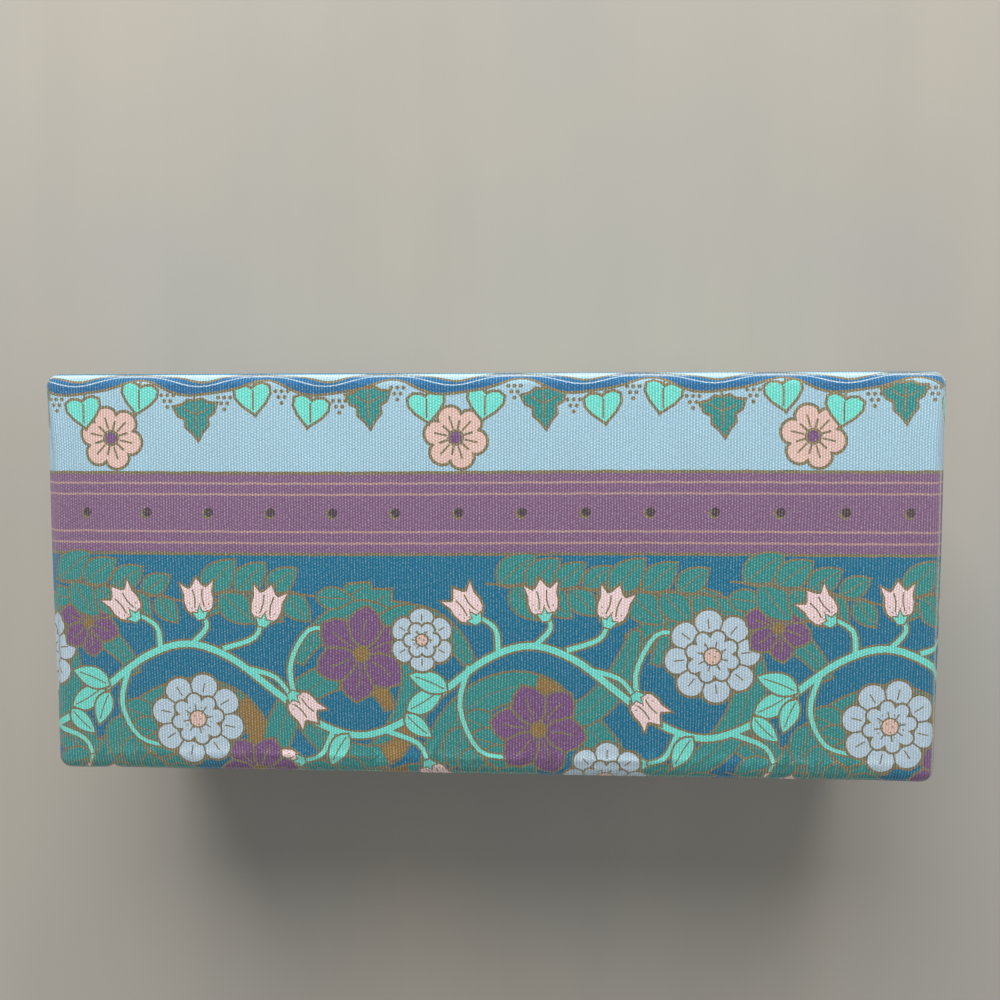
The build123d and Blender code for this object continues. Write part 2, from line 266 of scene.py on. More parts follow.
def printedCottonMaterial():
    look = clothLook
    material, tree, shader = newMaterial("printedCotton")
    ink = addNode(tree, "ShaderNodeAttribute", attribute_name="print")
    gold = ink.outputs["Alpha"]
    place, wayAcross, wayDown = clothMap(tree)
    lean = centred(tree, noiseOn(tree, place, look["leanScale"], 1.0), look["lean"])
    across = threadWave(tree, wayAcross, 100 * math.pi / look["warpPitch"], lean)
    down = threadWave(tree, wayDown, 100 * math.pi / look["weftPitch"], lean)
    ribs = threadWave(tree, wayAcross, 200 * math.pi / look["warpPitch"], times(tree, lean, 2.0))
    bricks = times(tree, times(tree, across, down), look["brick"])
    weave = plus(tree, bricks, times(tree, ribs, look["rib"]))
    thread = noiseOn(tree, place, look["threadScale"], 2.0, 0.6)
    blotch = noiseOn(tree, place, look["blotchScale"], 3.0, 0.55)
    # the weave's own relief painted into the colour: painted shade in the gaps between threads and painted
    # highlight on the crossings; the thread and blotch noise add random tone
    toneAndWeaveShade = plus(tree, times(tree, weave, look["weaveShade"]), 1.0)
    toneAndWeaveShade = plus(tree, toneAndWeaveShade, centred(tree, thread, look["threadTone"]))
    toneAndWeaveShade = plus(tree, toneAndWeaveShade, centred(tree, blotch, look["blotchTone"]))
    grey = addNode(tree, "ShaderNodeCombineXYZ")
    feedAll(tree, grey, {0: toneAndWeaveShade, 1: toneAndWeaveShade, 2: toneAndWeaveShade})
    grain = noiseOn(tree, place, look["mottleScale"], 2.0, 0.7)
    gaps = mapRange(tree, grain, *look["mottleGrain"], 0.0, look["goldMottle"])
    mottle = times(tree, gold, gaps)
    tinted = addNode(tree, "ShaderNodeVectorMath", operation="MULTIPLY")
    inked = mixColour(tree, mottle, ink.outputs["Color"], linearColour(*look["goldGap"]))
    feedAll(tree, tinted, {0: inked, 1: grey.outputs[0]})
    # paler specks on the raised thread crossings: partly the white of the fibre, partly painted highlight
    raised = mapRange(tree, weave, look["raisedFrom"], 1.0, 0.0, 1.0)
    speckAndHighlight = times(tree, raised, mapRange(tree, thread, *look["speckAndHighlightThreads"], 0.0, look["speckAndHighlight"]))
    colour = mixColour(tree, speckAndHighlight, tinted.outputs[0], linearColour(*look["speckAndHighlightColour"]))
    # rubbed edges and painted highlight along the folds
    wearAndHighlight = edgeWearAndHighlight(tree, (wayAcross, wayDown), thread)
    feedAll(tree, shader, {
        "Base Color": mixColour(tree, wearAndHighlight, colour, linearColour(*look["wearAndHighlightColour"])),
        "Metallic": times(tree, gold, look["goldMetal"]),
        "Roughness": mapRange(tree, gold, 0.0, 1.0, look["roughness"], look["goldRoughness"]),
        **look["shader"],
    })
    height = plus(tree, weave, times(tree, thread, look["threadRelief"]))
    addBump(tree, shader, height, 1.0, look["weaveDepth"])
    return material


def layeredMaterial(name, look):
    # noise mixed over a ground colour in layers, one of which also gives the relief
    material, tree, shader = newMaterial(name)
    place = addNode(tree, "ShaderNodeTexCoord").outputs["Object"]
    colour, layers = look["ground"], []
    for scale, detail, roughness, low, high, amount, tint in look["layers"]:
        layers.append(noiseOn(tree, place, scale, detail, roughness))
        colour = mixColour(tree, mapRange(tree, layers[-1], low, high, 0.0, amount), colour, tint)
    feedAll(tree, shader, {"Base Color": colour, **look["shader"]})
    relief = layers[look.get("reliefLayer", 0)]
    if "shine" in look:
        feed(tree, shader.inputs["Roughness"], mapRange(tree, relief, 0.3, 0.7, *look["shine"]))
    if "bump" in look:
        addBump(tree, shader, relief, *look["bump"])
    return material


# layers: scale, detail, roughness, noise from, to, amount, tint; bump: strength, distance
satinColour = linearColour(242, 232, 208)
satinShade = tuple(0.84 * c for c in satinColour)
satinLook = {
    "ground": satinColour,
    "layers": (
        (260.0, 2.0, 0.5, 0.3, 0.7, 0.25, satinShade),
        ((400.0, 5200.0, 5200.0), 1.0, 0.5, 0.35, 0.75, 0.5, satinShade),
    ),
    "reliefLayer": 1,
    "shine": (0.27, 0.39),
    "bump": (0.5, 0.00003),
    "shader": {"Anisotropic": 0.45, "Sheen Weight": 0.25, "Specular IOR Level": 0.7},
}
greyboardLook = {
    "ground": linearColour(158, 152, 140),
    "layers": (
        (900.0, 4.0, 0.7, 0.3, 0.7, 1.0, linearColour(182, 176, 164)),
        (2400.0, 1.0, 0.5, 0.62, 0.72, 0.5, linearColour(112, 104, 92)),
    ),
    "bump": (0.5, 0.00006),
    "shader": {"Roughness": 0.92},
}
paperLook = {
    "ground": linearColour(52, 74, 112),
    "layers": (
        (1400.0, 4.0, 0.7, 0.3, 0.7, 1.0, linearColour(66, 90, 130)),
        (60.0, 3.0, 0.5, 0.35, 0.7, 0.4, linearColour(60, 80, 116)),
    ),
    "bump": (0.5, 0.00004),
    "shader": {"Roughness": 0.85},
}
waddingLook = {
    "ground": linearColour(214, 212, 204),
    "layers": ((700.0, 5.0, 0.75, 0.3, 0.7, 1.0, linearColour(238, 236, 230)),),
    "bump": (0.9, 0.0003),
    "shader": {"Roughness": 0.95, "Sheen Weight": 0.4},
}
boneLook = {
    "ground": linearColour(232, 220, 190),
    "layers": (
        ((1600.0, 1600.0, 140.0), 3.0, 0.5, 0.35, 0.75, 0.8, linearColour(196, 172, 128)),
        (240.0, 2.0, 0.5, 0.4, 0.8, 0.35, linearColour(196, 172, 128)),
    ),
    "shine": (0.24, 0.36),
    "bump": (0.25, 0.00003),
    "shader": {"Subsurface Weight": 0.08, "Subsurface Scale": 0.001},
}
ribbonLook = {
    "colour": (34, 62, 104),
    # colour of the painted highlight on the raised ribs
    "light": (62, 98, 146),
    "ribPitch": 0.34,
    "endPitch": 0.22,
    "endWeight": 0.35,
    "bump": (0.8, 0.00004),
}


def ribbonMaterial():
    look = ribbonLook
    material, tree, shader = newMaterial("wovenRibbon")
    place, wayAcross, wayDown = clothMap(tree)
    ribs = threadWave(tree, wayDown, 200 * math.pi / look["ribPitch"])
    ends = threadWave(tree, wayAcross, 100 * math.pi / look["endPitch"])
    weave = plus(tree, ribs, times(tree, ends, look["endWeight"]))
    thread = noiseOn(tree, place, 300.0, 2.0)
    # the raised ribs painted lighter: painted highlight, with random tone from the thread noise
    lit = mapRange(tree, weave, -1.2, 1.2, 0.0, 0.7)
    factor = plus(tree, lit, mapRange(tree, thread, 0.3, 0.7, -0.15, 0.25))
    feedAll(tree, shader, {
        "Base Color": mixColour(tree, factor, linearColour(*look["colour"]), linearColour(*look["light"])),
        "Roughness": mapRange(tree, thread, 0.3, 0.7, 0.5, 0.66),
        "Sheen Weight": 0.3,
    })
    addBump(tree, shader, weave, *look["bump"])
    return material


# thread colours: painted shade in the twist's grooves and painted highlight on its ridges
threadLook = {"scale": 2400.0, "twistShade": (96, 126, 166), "light": (138, 164, 196), "bump": (0.5, 0.00003)}


def threadMaterial():
    material, tree, shader = newMaterial("sewingThread")
    twist = addNode(tree, "ShaderNodeTexWave", wave_type="BANDS", bands_direction="DIAGONAL")
    place = addNode(tree, "ShaderNodeTexCoord").outputs["Object"]
    feedAll(tree, twist, {"Scale": threadLook["scale"], "Vector": place})
    # the twist's grooves painted darker and its ridges lighter: painted shade and highlight
    lay = twist.outputs["Fac"]
    colour = mixColour(tree, lay, linearColour(*threadLook["twistShade"]), linearColour(*threadLook["light"]))
    feedAll(tree, shader, {"Base Color": colour, "Roughness": 0.6})
    addBump(tree, shader, lay, *threadLook["bump"])
    return material


materials = {
    "cotton": printedCottonMaterial(),
    "satin": layeredMaterial("ivorySatin", satinLook),
    "board": layeredMaterial("greyboard", greyboardLook),
    "paper": layeredMaterial("liningPaper", paperLook),
    "wadding": layeredMaterial("whiteWadding", waddingLook),
    "bone": layeredMaterial("polishedBone", boneLook),
    "ribbon": ribbonMaterial(),
    "thread": threadMaterial(),
}


def dress(piece, key):
    piece.data.materials.clear()
    piece.data.materials.append(materials[key])


def standIn(piece, material, node=None, body=None):
    # dressed, on its body, and shown in the place of a CAD node
    dress(piece, material)
    if body:
        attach(piece, body)
    if node:
        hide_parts(node)


for nodeName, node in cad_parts.items():
    if nodeName.endswith("_board"):
        dress(node, "board")
dress(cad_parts["base_underside_paper"], "paper")
dress(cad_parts["clasp_peg"], "bone")
say("materials")

# the print is drawn flat, in millimetres on the cloth
inks = {
    "pale": (166, 204, 221),
    "purple": (133, 99, 132),
    "deep": (18, 113, 146),
    "teal": (50, 142, 138),
    "mint": (116, 226, 210),
    "pink": (246, 217, 217),
    "rose": (230, 194, 182),
    "sky": (188, 210, 224),
    "violet": (122, 84, 128),
    "ribbon": (34, 108, 156),
    "ochre": (148, 118, 66),
    "gold": (136, 120, 84),
    "blush": (180, 146, 140),
    "ink": (80, 64, 72),
}
layout = {
    "bandRepeat": 75.6,
    "paleFrom": 16.4,
    "paleTo": 35.2,
    "purpleFrom": 3.9,
    "deepFrom": -42.6,
    "repeat": 107.0,
    "repeatStart": 60,
    "margin": 4,
    "edgeWeight": 1.7,
    "strokeWeight": 1.5,
    "borderHalf": 0.24,
    "pinHalf": 0.16,
    "pinstripes": (14.8, 13.1, 7.35, 5.6),
    "dotPitch": 9.68,
    "dotStart": -62.1,
    "dotHeight": 10.3,
    "waveHeight": 30.5,
    "waveSize": 1.15,
    "wavePitch": 19.6,
    "bloomHeight": 21.7,
    "bloomSize": 4.7,
    "bloomTurn": 0.3,
    "skew": 0.0035,
    "sway": 0.10,
    "swayLength": 15.0,
}


def spoke(x, y, reach, angle):
    return x + reach * math.cos(angle), y + reach * math.sin(angle)


def circlePoints(x, y, radius, count):
    return [spoke(x, y, radius, 2 * math.pi * i / count) for i in range(count)]


def arcPath(centre, radius, fromDegrees, toDegrees, steps):
    step = toDegrees - fromDegrees
    return [spoke(*centre, radius, math.radians(fromDegrees + step * i / steps)) for i in range(steps + 1)]


def turned(points, x, y, degrees=0.0, size=1.0):
    c, s = math.cos(math.radians(degrees)) * size, math.sin(math.radians(degrees)) * size
    return [(x + px * c - py * s, y + px * s + py * c) for px, py in points]


def mirrored(half):
    # the same points on the other side, in reverse
    return [(-x, y) for x, y in half[::-1]]


def reachOf(points):
    # least and greatest of both coordinates
    us, vs = zip(*points)
    return min(us), max(us), min(vs), max(vs)


def signedArea(points):
    pairs = zip(points[-1:] + points[:-1], points)
    return 0.5 * sum(before[0] * here[1] - here[0] * before[1] for before, here in pairs)


def grown(points, by):
    # every corner moved out along the mean of its two edges' normals
    if signedArea(points) < 0:
        points = points[::-1]
    result = []
    for i, here in enumerate(points):
        before, after = points[i - 1], points[(i + 1) % len(points)]
        first = Vector((here[0] - before[0], here[1] - before[1]))
        second = Vector((after[0] - here[0], after[1] - here[1]))
        first = first.normalized() if first.length > 1e-6 else second.normalized()
        second = second.normalized() if second.length > 1e-6 else first
        normal = Vector((first.y + second.y, -first.x - second.x))
        if normal.length < 0.5:
            normal = Vector((first.y, -first.x)) * 2
        normal.normalize()
        stretch = 1 / max(0.6, normal.dot(Vector((first.y, -first.x))))
        result.append((here[0] + normal.x * by * stretch, here[1] + normal.y * by * stretch))
    # a corner that came nearer to the outline than it should has crossed over, so it goes
    made, ring = np.array(result), np.array(points)
    run = np.roll(ring, -1, 0) - ring
    length = np.maximum((run * run).sum(1), 1e-12)
    share = np.clip(((made[:, None] - ring[None]) * run[None]).sum(2) / length, 0, 1)
    nearest = np.sqrt((((ring[None] + share[..., None] * run[None]) - made[:, None]) ** 2).sum(2)).min(1)
    kept = [spot for spot, far in zip(result, nearest) if far > 0.93 * by]
    return kept if len(kept) > 2 else result


def throughPoints(points, steps):
    # smooth line through the given points
    path = []
    ends = [points[0]] + list(points) + [points[-1]]
    for i in range(1, len(ends) - 2):
        a, b, c, d = (Vector(ends[i + k - 1]) for k in range(4))
        for step in range(steps):
            t = step / steps
            square, cube = (2 * a - 5 * b + 4 * c - d) * t * t, (3 * b - 3 * c + d - a) * t**3
            place = 0.5 * ((2 * b) + (c - a) * t + square + cube)
            path.append(tuple(place))
    path.append(tuple(points[-1]))
    return path


def strokePoints(path, widths):
    # closed outline round a line, with a half width at each of its points
    left, right = [], []
    for i, (x, y) in enumerate(path):
        before, after = path[max(0, i - 1)], path[min(len(path) - 1, i + 1)]
        along = Vector((after[0] - before[0], after[1] - before[1])).normalized()
        left.append((x - along.y * widths[i], y + along.x * widths[i]))
        right.append((x + along.y * widths[i], y - along.x * widths[i]))
    return left + right[::-1]


drawn = []  # (outline, ink) in painting order


def paint(points, ink, edge):
    drawn.append((grown(points, edge * layout["edgeWeight"]), "gold"))
    drawn.append((points, ink))


def evenLine(path, half, ink="gold"):
    drawn.append((strokePoints(path, [half] * len(path)), ink))


def goldStroke(points, width, steps=1):
    evenLine(throughPoints(points, steps), width * layout["strokeWeight"])


def goldRay(x, y, angle, reaches, width):
    goldStroke([spoke(x, y, reach, angle) for reach in reaches], width)


def dot(x, y, radius, count, ink="gold"):
    drawn.append((circlePoints(x, y, radius, count), ink))


def stipple(x, y, radius, count, size):
    # dots set out in a sunflower's order
    for i in range(count):
        dot(*spoke(x, y, radius * math.sqrt((i + 0.5) / count), i * 2.39996), size, 5)


def leafPoints(length, width, bend, steps=8):
    # pointed leaf from the origin along X, bent sideways
    upper, lower = [], []
    for i in range(steps + 1):
        t = i / steps
        x, y = length * t, bend * length * t * t
        if i in (0, steps):
            upper.append((x, y))
            continue
        half = 0.5 * width * math.sin(math.pi * t**0.82) ** 0.85
        lean = 2 * bend * t * half * 0.6
        upper.append((x - lean, y + half))
        lower.append((x + lean, y - half))
    return upper + lower[::-1]


def drawLeaf(x, y, degrees, length, width, ink, bend):
    paint(turned(leafPoints(length, width, bend), x, y, degrees), ink, 0.2)
    rib = [(share * length, bend * length * sag) for share, sag in ((0.08, 0), (0.45, 0.2), (0.86, 0.74))]
    goldStroke(turned(rib, x, y, degrees), 0.07, 2)


def drawYoungLeaf(x, y, degrees, size):
    drawLeaf(x, y, degrees, size, size * 0.5, "mint", 0.16)


sprayLook = {"leafLength": 6.9, "leafWidth": 4.5, "lean": 52, "bend": 0.14, "shrink": 0.10}


def drawSpray(x, y, degrees, length, pairs, curve):
    # curved stem with pairs of leaves and one at its tip
    look = sprayLook
    leafLength, leafWidth = look["leafLength"], look["leafWidth"]
    stem = []
    heading = math.radians(degrees)
    place = Vector((x, y))
    steps = pairs * 2 + 2
    for i in range(steps + 1):
        stem.append((*place, math.degrees(heading)))
        place = place + Vector(spoke(0, 0, 1, heading)) * length / steps
        heading += math.radians(curve) / steps
    for i in range(pairs):
        shrink = 1 - look["shrink"] * i
        for spot, sign in ((2 * i + 1, 1), (2 * i + 2, -1)):
            px, py, turn = stem[spot]
            turn += sign * look["lean"]
            drawLeaf(px, py, turn, leafLength * shrink, leafWidth * shrink, "teal", -sign * look["bend"])
    drawLeaf(*stem[-1], leafLength * 0.8, leafWidth * 0.7, "teal", 0.08)
    evenLine([(px, py) for px, py, turn in stem], 0.2)


def drawStrap(x, y, degrees, length, width, curve):
    # strap leaf that rolls up towards its tip, which shows its other face
    path, widths = [], []
    heading = math.radians(degrees)
    place = Vector((x, y))
    steps = 26
    for i in range(steps + 1):
        t = i / steps
        path.append(tuple(place))
        widths.append(0.5 * width * (0.16 + 0.84 * math.sin(math.pi * min(1.0, t * 0.92 + 0.04)) ** 0.8))
        heading += math.radians(curve) * (0.35 + 1.9 * t**1.8) / steps
        place = place + Vector(spoke(0, 0, 1, heading)) * length / steps
    paint(strokePoints(path, widths), "teal", 0.22)
    cut = int(steps * 0.76)
    paint(strokePoints(path[cut:], [w * 0.96 for w in widths[cut:]]), "ochre", 0.12)
    evenLine([path[k] for k in range(2, cut, 3)], 0.07)


def blossomPoints(radius, petals, depth, power, steps, turn):
    points = []
    for i in range(petals * steps):
        t = 2 * math.pi * i / (petals * steps)
        lobe = abs(math.sin(petals * t / 2)) ** power
        points.append(spoke(0, 0, radius * (1 - depth + depth * lobe), t + turn))
    return points


def drawDoubleBlossom(x, y, radius, petals, degrees):
    turn = math.radians(degrees)
    half = math.pi / petals
    paint(turned(blossomPoints(radius, petals, 0.26, 0.55, 8, turn), x, y), "sky", 0.26)
    for i in range(petals):
        a = turn + 2 * math.pi * i / petals
        goldRay(x, y, a, [radius * f for f in (0.5, 0.62, 0.76)], 0.1)
        goldRay(x, y, a + half, [radius * f for f in (0.6, 0.7, 0.82)], 0.07)
    paint(turned(blossomPoints(radius * 0.56, petals, 0.3, 0.6, 6, turn + half), x, y), "sky", 0.2)
    for i in range(petals):
        a = turn + 2 * math.pi * (i + 0.5) / petals + half
        goldRay(x, y, a, [radius * f for f in (0.2, 0.33)], 0.08)
    paint(circlePoints(x, y, radius * 0.17, 12), "rose", 0.16)
    stipple(x, y, radius * 0.30, 15, 0.15)


petalHalf = [(0.30, 0.22), (0.62, 0.36), (0.86, 0.22)]
petalOutline = [(0.10, 0)] + petalHalf + [(1.0, 0.0)] + [(x, -y) for x, y in petalHalf[::-1]]


def drawPointedBlossom(x, y, radius, degrees):
    # six broad pointed petals in two layers
    for layer, size in ((0, 1.0), (1, 0.98)):
        for i in range(3):
            turn = degrees + 120 * i + 60 * layer
            paint(turned(turned(petalOutline, 0, 0, 0, radius * size), x, y, turn), "violet", 0.24)
            vein = [(0.26 * radius, 0), (0.5 * radius, 0.03 * radius), (0.72 * radius, 0)]
            goldStroke(turned(vein, x, y, turn), 0.09)
    paint(circlePoints(x, y, radius * 0.16, 10), "ochre", 0.14)
    stipple(x, y, radius * 0.34, 17, 0.16)


def drawBlossom(x, y, radius, degrees, petals):
    if petals:
        drawDoubleBlossom(x, y, radius, petals, degrees)
    else:
        drawPointedBlossom(x, y, radius, degrees)


budHalf = [(1.1, 0.25), (1.9, 1.1), (2.15, 2.3), (2.05, 3.4), (2.5, 5.0), (1.35, 4.1), (0.85, 4.35)]
budOutline = [(0, 0)] + budHalf + [(0.0, 5.6)] + mirrored(budHalf)
budCalyx = [(-1.1, 0.5), (-0.5, -0.6), (0.5, -0.6), (1.1, 0.5), (0.35, 0.35), (0, 1.3), (-0.35, 0.35)]
budDots = [(-1.2, 1.2), (-0.6, 0.9), (0.1, 1.7), (0.9, 1.0), (1.4, 1.6), (-1.5, 2.0)]


def drawBud(x, y, degrees, size):
    # tulip-shaped bud, its foot at x, y and its mouth along the heading
    turn = degrees - 90
    paint(turned(budOutline, x, y, turn, size), "pink", 0.26)
    for sign in (1, -1):
        crease = [(sign * 0.75, 4.0), (sign * 0.55, 2.6), (sign * 0.75, 1.2)]
        goldStroke(turned(crease, x, y, turn, size), 0.08, 2)
    for spot in turned(budDots, x, y, turn, size):
        dot(*spot, 0.13, 5)
    paint(turned(budCalyx, x, y, turn, size), "mint", 0.14)


def stemPoints(points, startWidth, endWidth, steps):
    path = throughPoints(points, steps)
    last = len(path) - 1
    return strokePoints(path, [startWidth + (endWidth - startWidth) * i / last for i in range(last + 1)])


def heartPoints(size):
    points = []
    for i in range(18):
        t = 2 * math.pi * i / 18
        rise = 0.76 * math.cos(t) - 0.30 * math.cos(2 * t) - 0.12 * math.cos(3 * t)
        points.append((size * 0.98 * math.sin(t) ** 3, size * rise))
    return points


# three broad lobes, the middle one longest, hanging down
lobedHalf = [(0.35, 0.62), (0.62, 0.42), (1.02, 0.36), (0.86, -0.02), (0.50, -0.22), (0.52, -0.62)]
lobedHalf += [(0.22, -0.92)]
lobedOutline = [(0, 0.55)] + lobedHalf + [(0, -1.28)] + mirrored(lobedHalf)


def waveLine(u):
    return layout["waveHeight"] + layout["waveSize"] * math.sin(2 * math.pi * u / layout["wavePitch"])


def drawBands(lowU, highU, base):
    # plain grounds with gold along their borders
    reach = [lowU + 3.0 * i for i in range(int((highU - lowU) / 3.0) + 2)]
    pale, purple, deep = (base + layout[key] for key in ("paleFrom", "purpleFrom", "deepFrom"))

    def band(low, high, ink):
        line = [(u, low + 0.05 * math.sin(u * 0.9 + low)) for u in reach]
        line += [(u, high + 0.05 * math.sin(u * 0.9 + high)) for u in reversed(reach)]
        drawn.append((line, ink))

    band(pale, base + layout["paleTo"], "pale")
    band(purple, pale, "purple")
    band(deep - 0.2, purple, "deep")
    for height in (pale, purple):
        band(height - layout["borderHalf"], height + layout["borderHalf"], "gold")
    for height in layout["pinstripes"]:
        band(base + height - layout["pinHalf"], base + height + layout["pinHalf"], "blush")


def drawDots(lowU, highU, base):
    pitch, start = layout["dotPitch"], layout["dotStart"]
    for i in range(math.floor((lowU - start) / pitch), math.ceil((highU - start) / pitch) + 1):
        u, v = start + pitch * i, base + layout["dotHeight"]
        dot(u - 0.22, v - 0.2, 0.86, 14)
        dot(u, v, 0.72, 14, "ink")


def drawGarland(lowU, highU, base):
    # wavy ribbon with hearts, lobed leaves and berries hanging from it
    pitch = layout["repeat"] / 24
    for i in range(math.floor(lowU / pitch), math.ceil(highU / pitch) + 1):
        u = i * pitch
        v = base + waveLine(u) - 0.9
        kind = i % 6
        if kind in (0, 4):
            v -= 2.6
            goldStroke([(u + 0.4, v + 3.2), (u, v + 1.0)], 0.12)
            paint(turned(heartPoints(2.75), u, v, 8 if kind else -10), "mint", 0.26)
            goldStroke([(u, v + 1.0), (u, v - 0.5), (u, v - 2.0)], 0.1, 2)
        elif kind == 2:
            v -= 2.9
            goldStroke([(u - 0.4, v + 3.4), (u, v + 1.0)], 0.12)
            lobed = [(3.1 * px, 3.1 * py) for px, py in lobedOutline]
            paint(turned(lobed, u, v, 5), "teal", 0.26)
            goldStroke([(u, v + 1.4), (u, v - 2.6)], 0.1)
            goldStroke([(u - 2.0, v + 0.8), (u, v - 0.2), (u + 2.0, v + 0.8)], 0.09, 2)
        elif i % 12 != 11:
            for row, number in enumerate((3, 2, 1)):
                for k in range(number):
                    dot(u + (k - (number - 1) / 2) * 0.95, v - 1.3 - row * 0.9, 0.34, 7)
    u = lowU - 3
    path = []
    while u < highU + 3:
        path.append((u, base + waveLine(u)))
        u += 1.4
    widths = [0.95 + 0.28 * math.sin(4 * math.pi * p[0] / layout["wavePitch"] + 0.8) for p in path]
    paint(strokePoints(path, widths), "ribbon", 0.26)
    evenLine([(a, b + 0.28) for a, b in path], 0.09, "sky")


def drawPaleBlooms(lowU, highU, base):
    spacing, start = layout["repeat"] / 2, -layout["repeat"] / 24
    for i in range(math.floor((lowU - start) / spacing), math.ceil((highU - start) / spacing) + 1):
        u, v = start + spacing * i, base + layout["bloomHeight"]
        turn = layout["bloomTurn"]
        paint(turned(blossomPoints(layout["bloomSize"], 6, 0.30, 0.6, 8, turn), u, v), "rose", 0.28)
        for k in range(6):
            a = turn + math.pi / 3 * (k + 0.5)
            goldRay(u, v, a, (1.4, 2.4, 3.4), 0.1)
            goldRay(u, v, a - math.pi / 6, (1.2, 2.7), 0.12)
        paint(circlePoints(u, v, 0.9, 10), "violet", 0.24)


def drawPlume(x, y, degrees, length, width, bend):
    # broad leaf with a toothed edge and side ribs
    upper, lower, ribs = [], [], []
    count = 10
    for i in range(count + 1):
        t = i / count
        px, py = length * t, bend * length * t * t
        half = 0.5 * width * math.sin(math.pi * (0.06 + 0.94 * t) ** 0.8) ** 0.7 if t < 1 else 0.0
        half *= 1.12 if i % 2 else 0.74
        push = 0.055 * length if i % 2 else 0.0
        upper.append((px + push, py + half))
        lower.append((px + push, py - half))
        if i % 2 and i < count - 1:
            for sign in (-1, 1):
                ribs.append([(px - 0.04 * length, py), (px + 0.6 * push, py + sign * 0.72 * half)])
    paint(turned(upper + lower[-2::-1], x, y, degrees), "teal", 0.24)
    middle = [(0, 0), (0.5 * length, bend * length * 0.25), (0.94 * length, bend * length * 0.88)]
    goldStroke(turned(middle, x, y, degrees), 0.1, 3)
    for rib in ribs:
        goldStroke(turned(rib, x, y, degrees), 0.07)


vine = {
    "plumes": (  # place, heading, length, width, bend
        (38, -2, -34, 17, 8.5, -0.10), (96, -3.5, -160, 16, 8.0, 0.12), (57, -33, 28, 18, 8.5, 0.10),
        (2, -34, 30, 17, 8.0, 0.10), (112, -34, 150, 16, 8.0, -0.1),
    ),
    "straps": (  # place, heading, length, width, curve
        (-3, -33, 66, 42, 4.8, -185), (27, -38, 102, 38, 4.4, -175), (33, -34, 20, 40, 4.6, 165),
        (50, -36, 84, 40, 4.8, -180), (83, -38, 98, 36, 4.4, 170), (86, -33, 24, 38, 4.6, 160),
        (30, -20, -60, 24, 3.8, 150), (83, -8, -100, 26, 4.0, -140), (62, -40, 124, 24, 4.0, 120),
        (31, -13, 66, 25, 3.7, -215), (58, -14, 112, 24, 3.6, 200), (86, -13, 70, 24, 3.7, -205),
        (112, -15, 116, 22, 3.5, 205),
    ),
    "sprays": (  # place, heading, length, pairs of leaves, curve
        (-10, -0.2, -5, 24, 4, -8), (14, -2.6, 6, 20, 3, -14), (60, -0.6, -5, 22, 4, 6),
        (77, -2.4, 6, 20, 3, -16), (20, -29, -28, 16, 3, 36), (74, -29, -30, 17, 3, 40),
        (45, -30, -150, 14, 2, -40), (97, -30, -30, 15, 3, 30), (2, -19, -74, 14, 3, 40),
        (56, -20, -76, 14, 3, 40),
    ),
    "stems": (
        [(4, -14.0), (2.5, -20), (5, -25.5), (10.0, -27)],
        [(31, -21.5), (29.5, -14), (32.5, -8), (36.5, -8.0)],
        [(57.5, -13.5), (56, -20), (59, -27), (64.5, -28.0)],
        [(84.5, -21.5), (83, -15), (86, -8.6), (90, -8.4)],
        [(9, -11.3), (8.5, -7.6), (5.2, -5.6)],
        [(14, -10.4), (16.5, -7.6), (15.6, -5.2)],
        [(19, -11.0), (24, -9.2), (25.2, -6.2)],
        [(62, -11.4), (61.5, -7.6), (58.6, -5.6)],
        [(67.5, -10.4), (70, -7.6), (69.2, -5.2)],
        [(72.5, -11.0), (77.5, -9.2), (78.8, -6.2)],
        [(22, -14.0), (27, -15.4), (29.6, -18.6)],
        [(75.5, -14.0), (80.5, -15.4), (83, -18.4)],
        [(36, -24.2), (34, -28), (30.6, -29)],
        [(44, -23.8), (49.5, -26), (51, -29.6)],
        [(89.5, -24.2), (87.5, -28), (84, -29)],
        [(97.5, -23.8), (103, -26), (104.5, -29.6)],
    ),
    "buds": (  # place, heading, size
        (5.2, -6.2, 128, 1.06), (15.6, -5.8, 96, 1.04), (25.4, -6.8, 76, 1.08), (58.6, -6.2, 126, 1.06),
        (69.2, -5.8, 98, 1.04), (78.8, -6.8, 74, 1.08), (29.8, -18.4, -48, 1.02), (83.2, -18.2, -50, 1.02),
        (30.8, -29, -172, 1.02), (51, -29.2, -70, 1.04), (84.2, -29, -174, 1.02), (104.5, -29.2, -72, 1.04),
    ),
    "leaves": (  # place, heading, length
        (0.5, -17.2, 150, 6.4), (0.5, -18.4, -120, 5.4), (47.8, -20.6, 24, 6.6), (47.6, -21.2, -52, 5.2),
        (54, -17.4, 148, 6.2), (101.2, -20.6, 22, 6.6), (101, -21.2, -54, 5.2), (38.4, -24.6, -128, 5.6),
        (91.8, -24.6, -128, 5.6),
    ),
    "blossoms": (  # place, radius, heading, petals of a double one or 0 for a pointed one
        (14.6, -22.4, 7.3, 10, 8), (40.8, -11.6, 7.6, 22, 0), (68.2, -23.6, 7.5, 50, 0),
        (94.6, -11.8, 7.2, 30, 8), (24.0, -31.0, 6.2, 5, 0), (78.6, -32.0, 6.4, 20, 8),
        (50.2, -9.4, 4.9, 0, 6), (104.4, -7.2, 5.2, 40, 0),
    ),
    "waveMiddle": -17.5,
    "waveSize": 7.2,
    "wavePitch": 53.5,
}


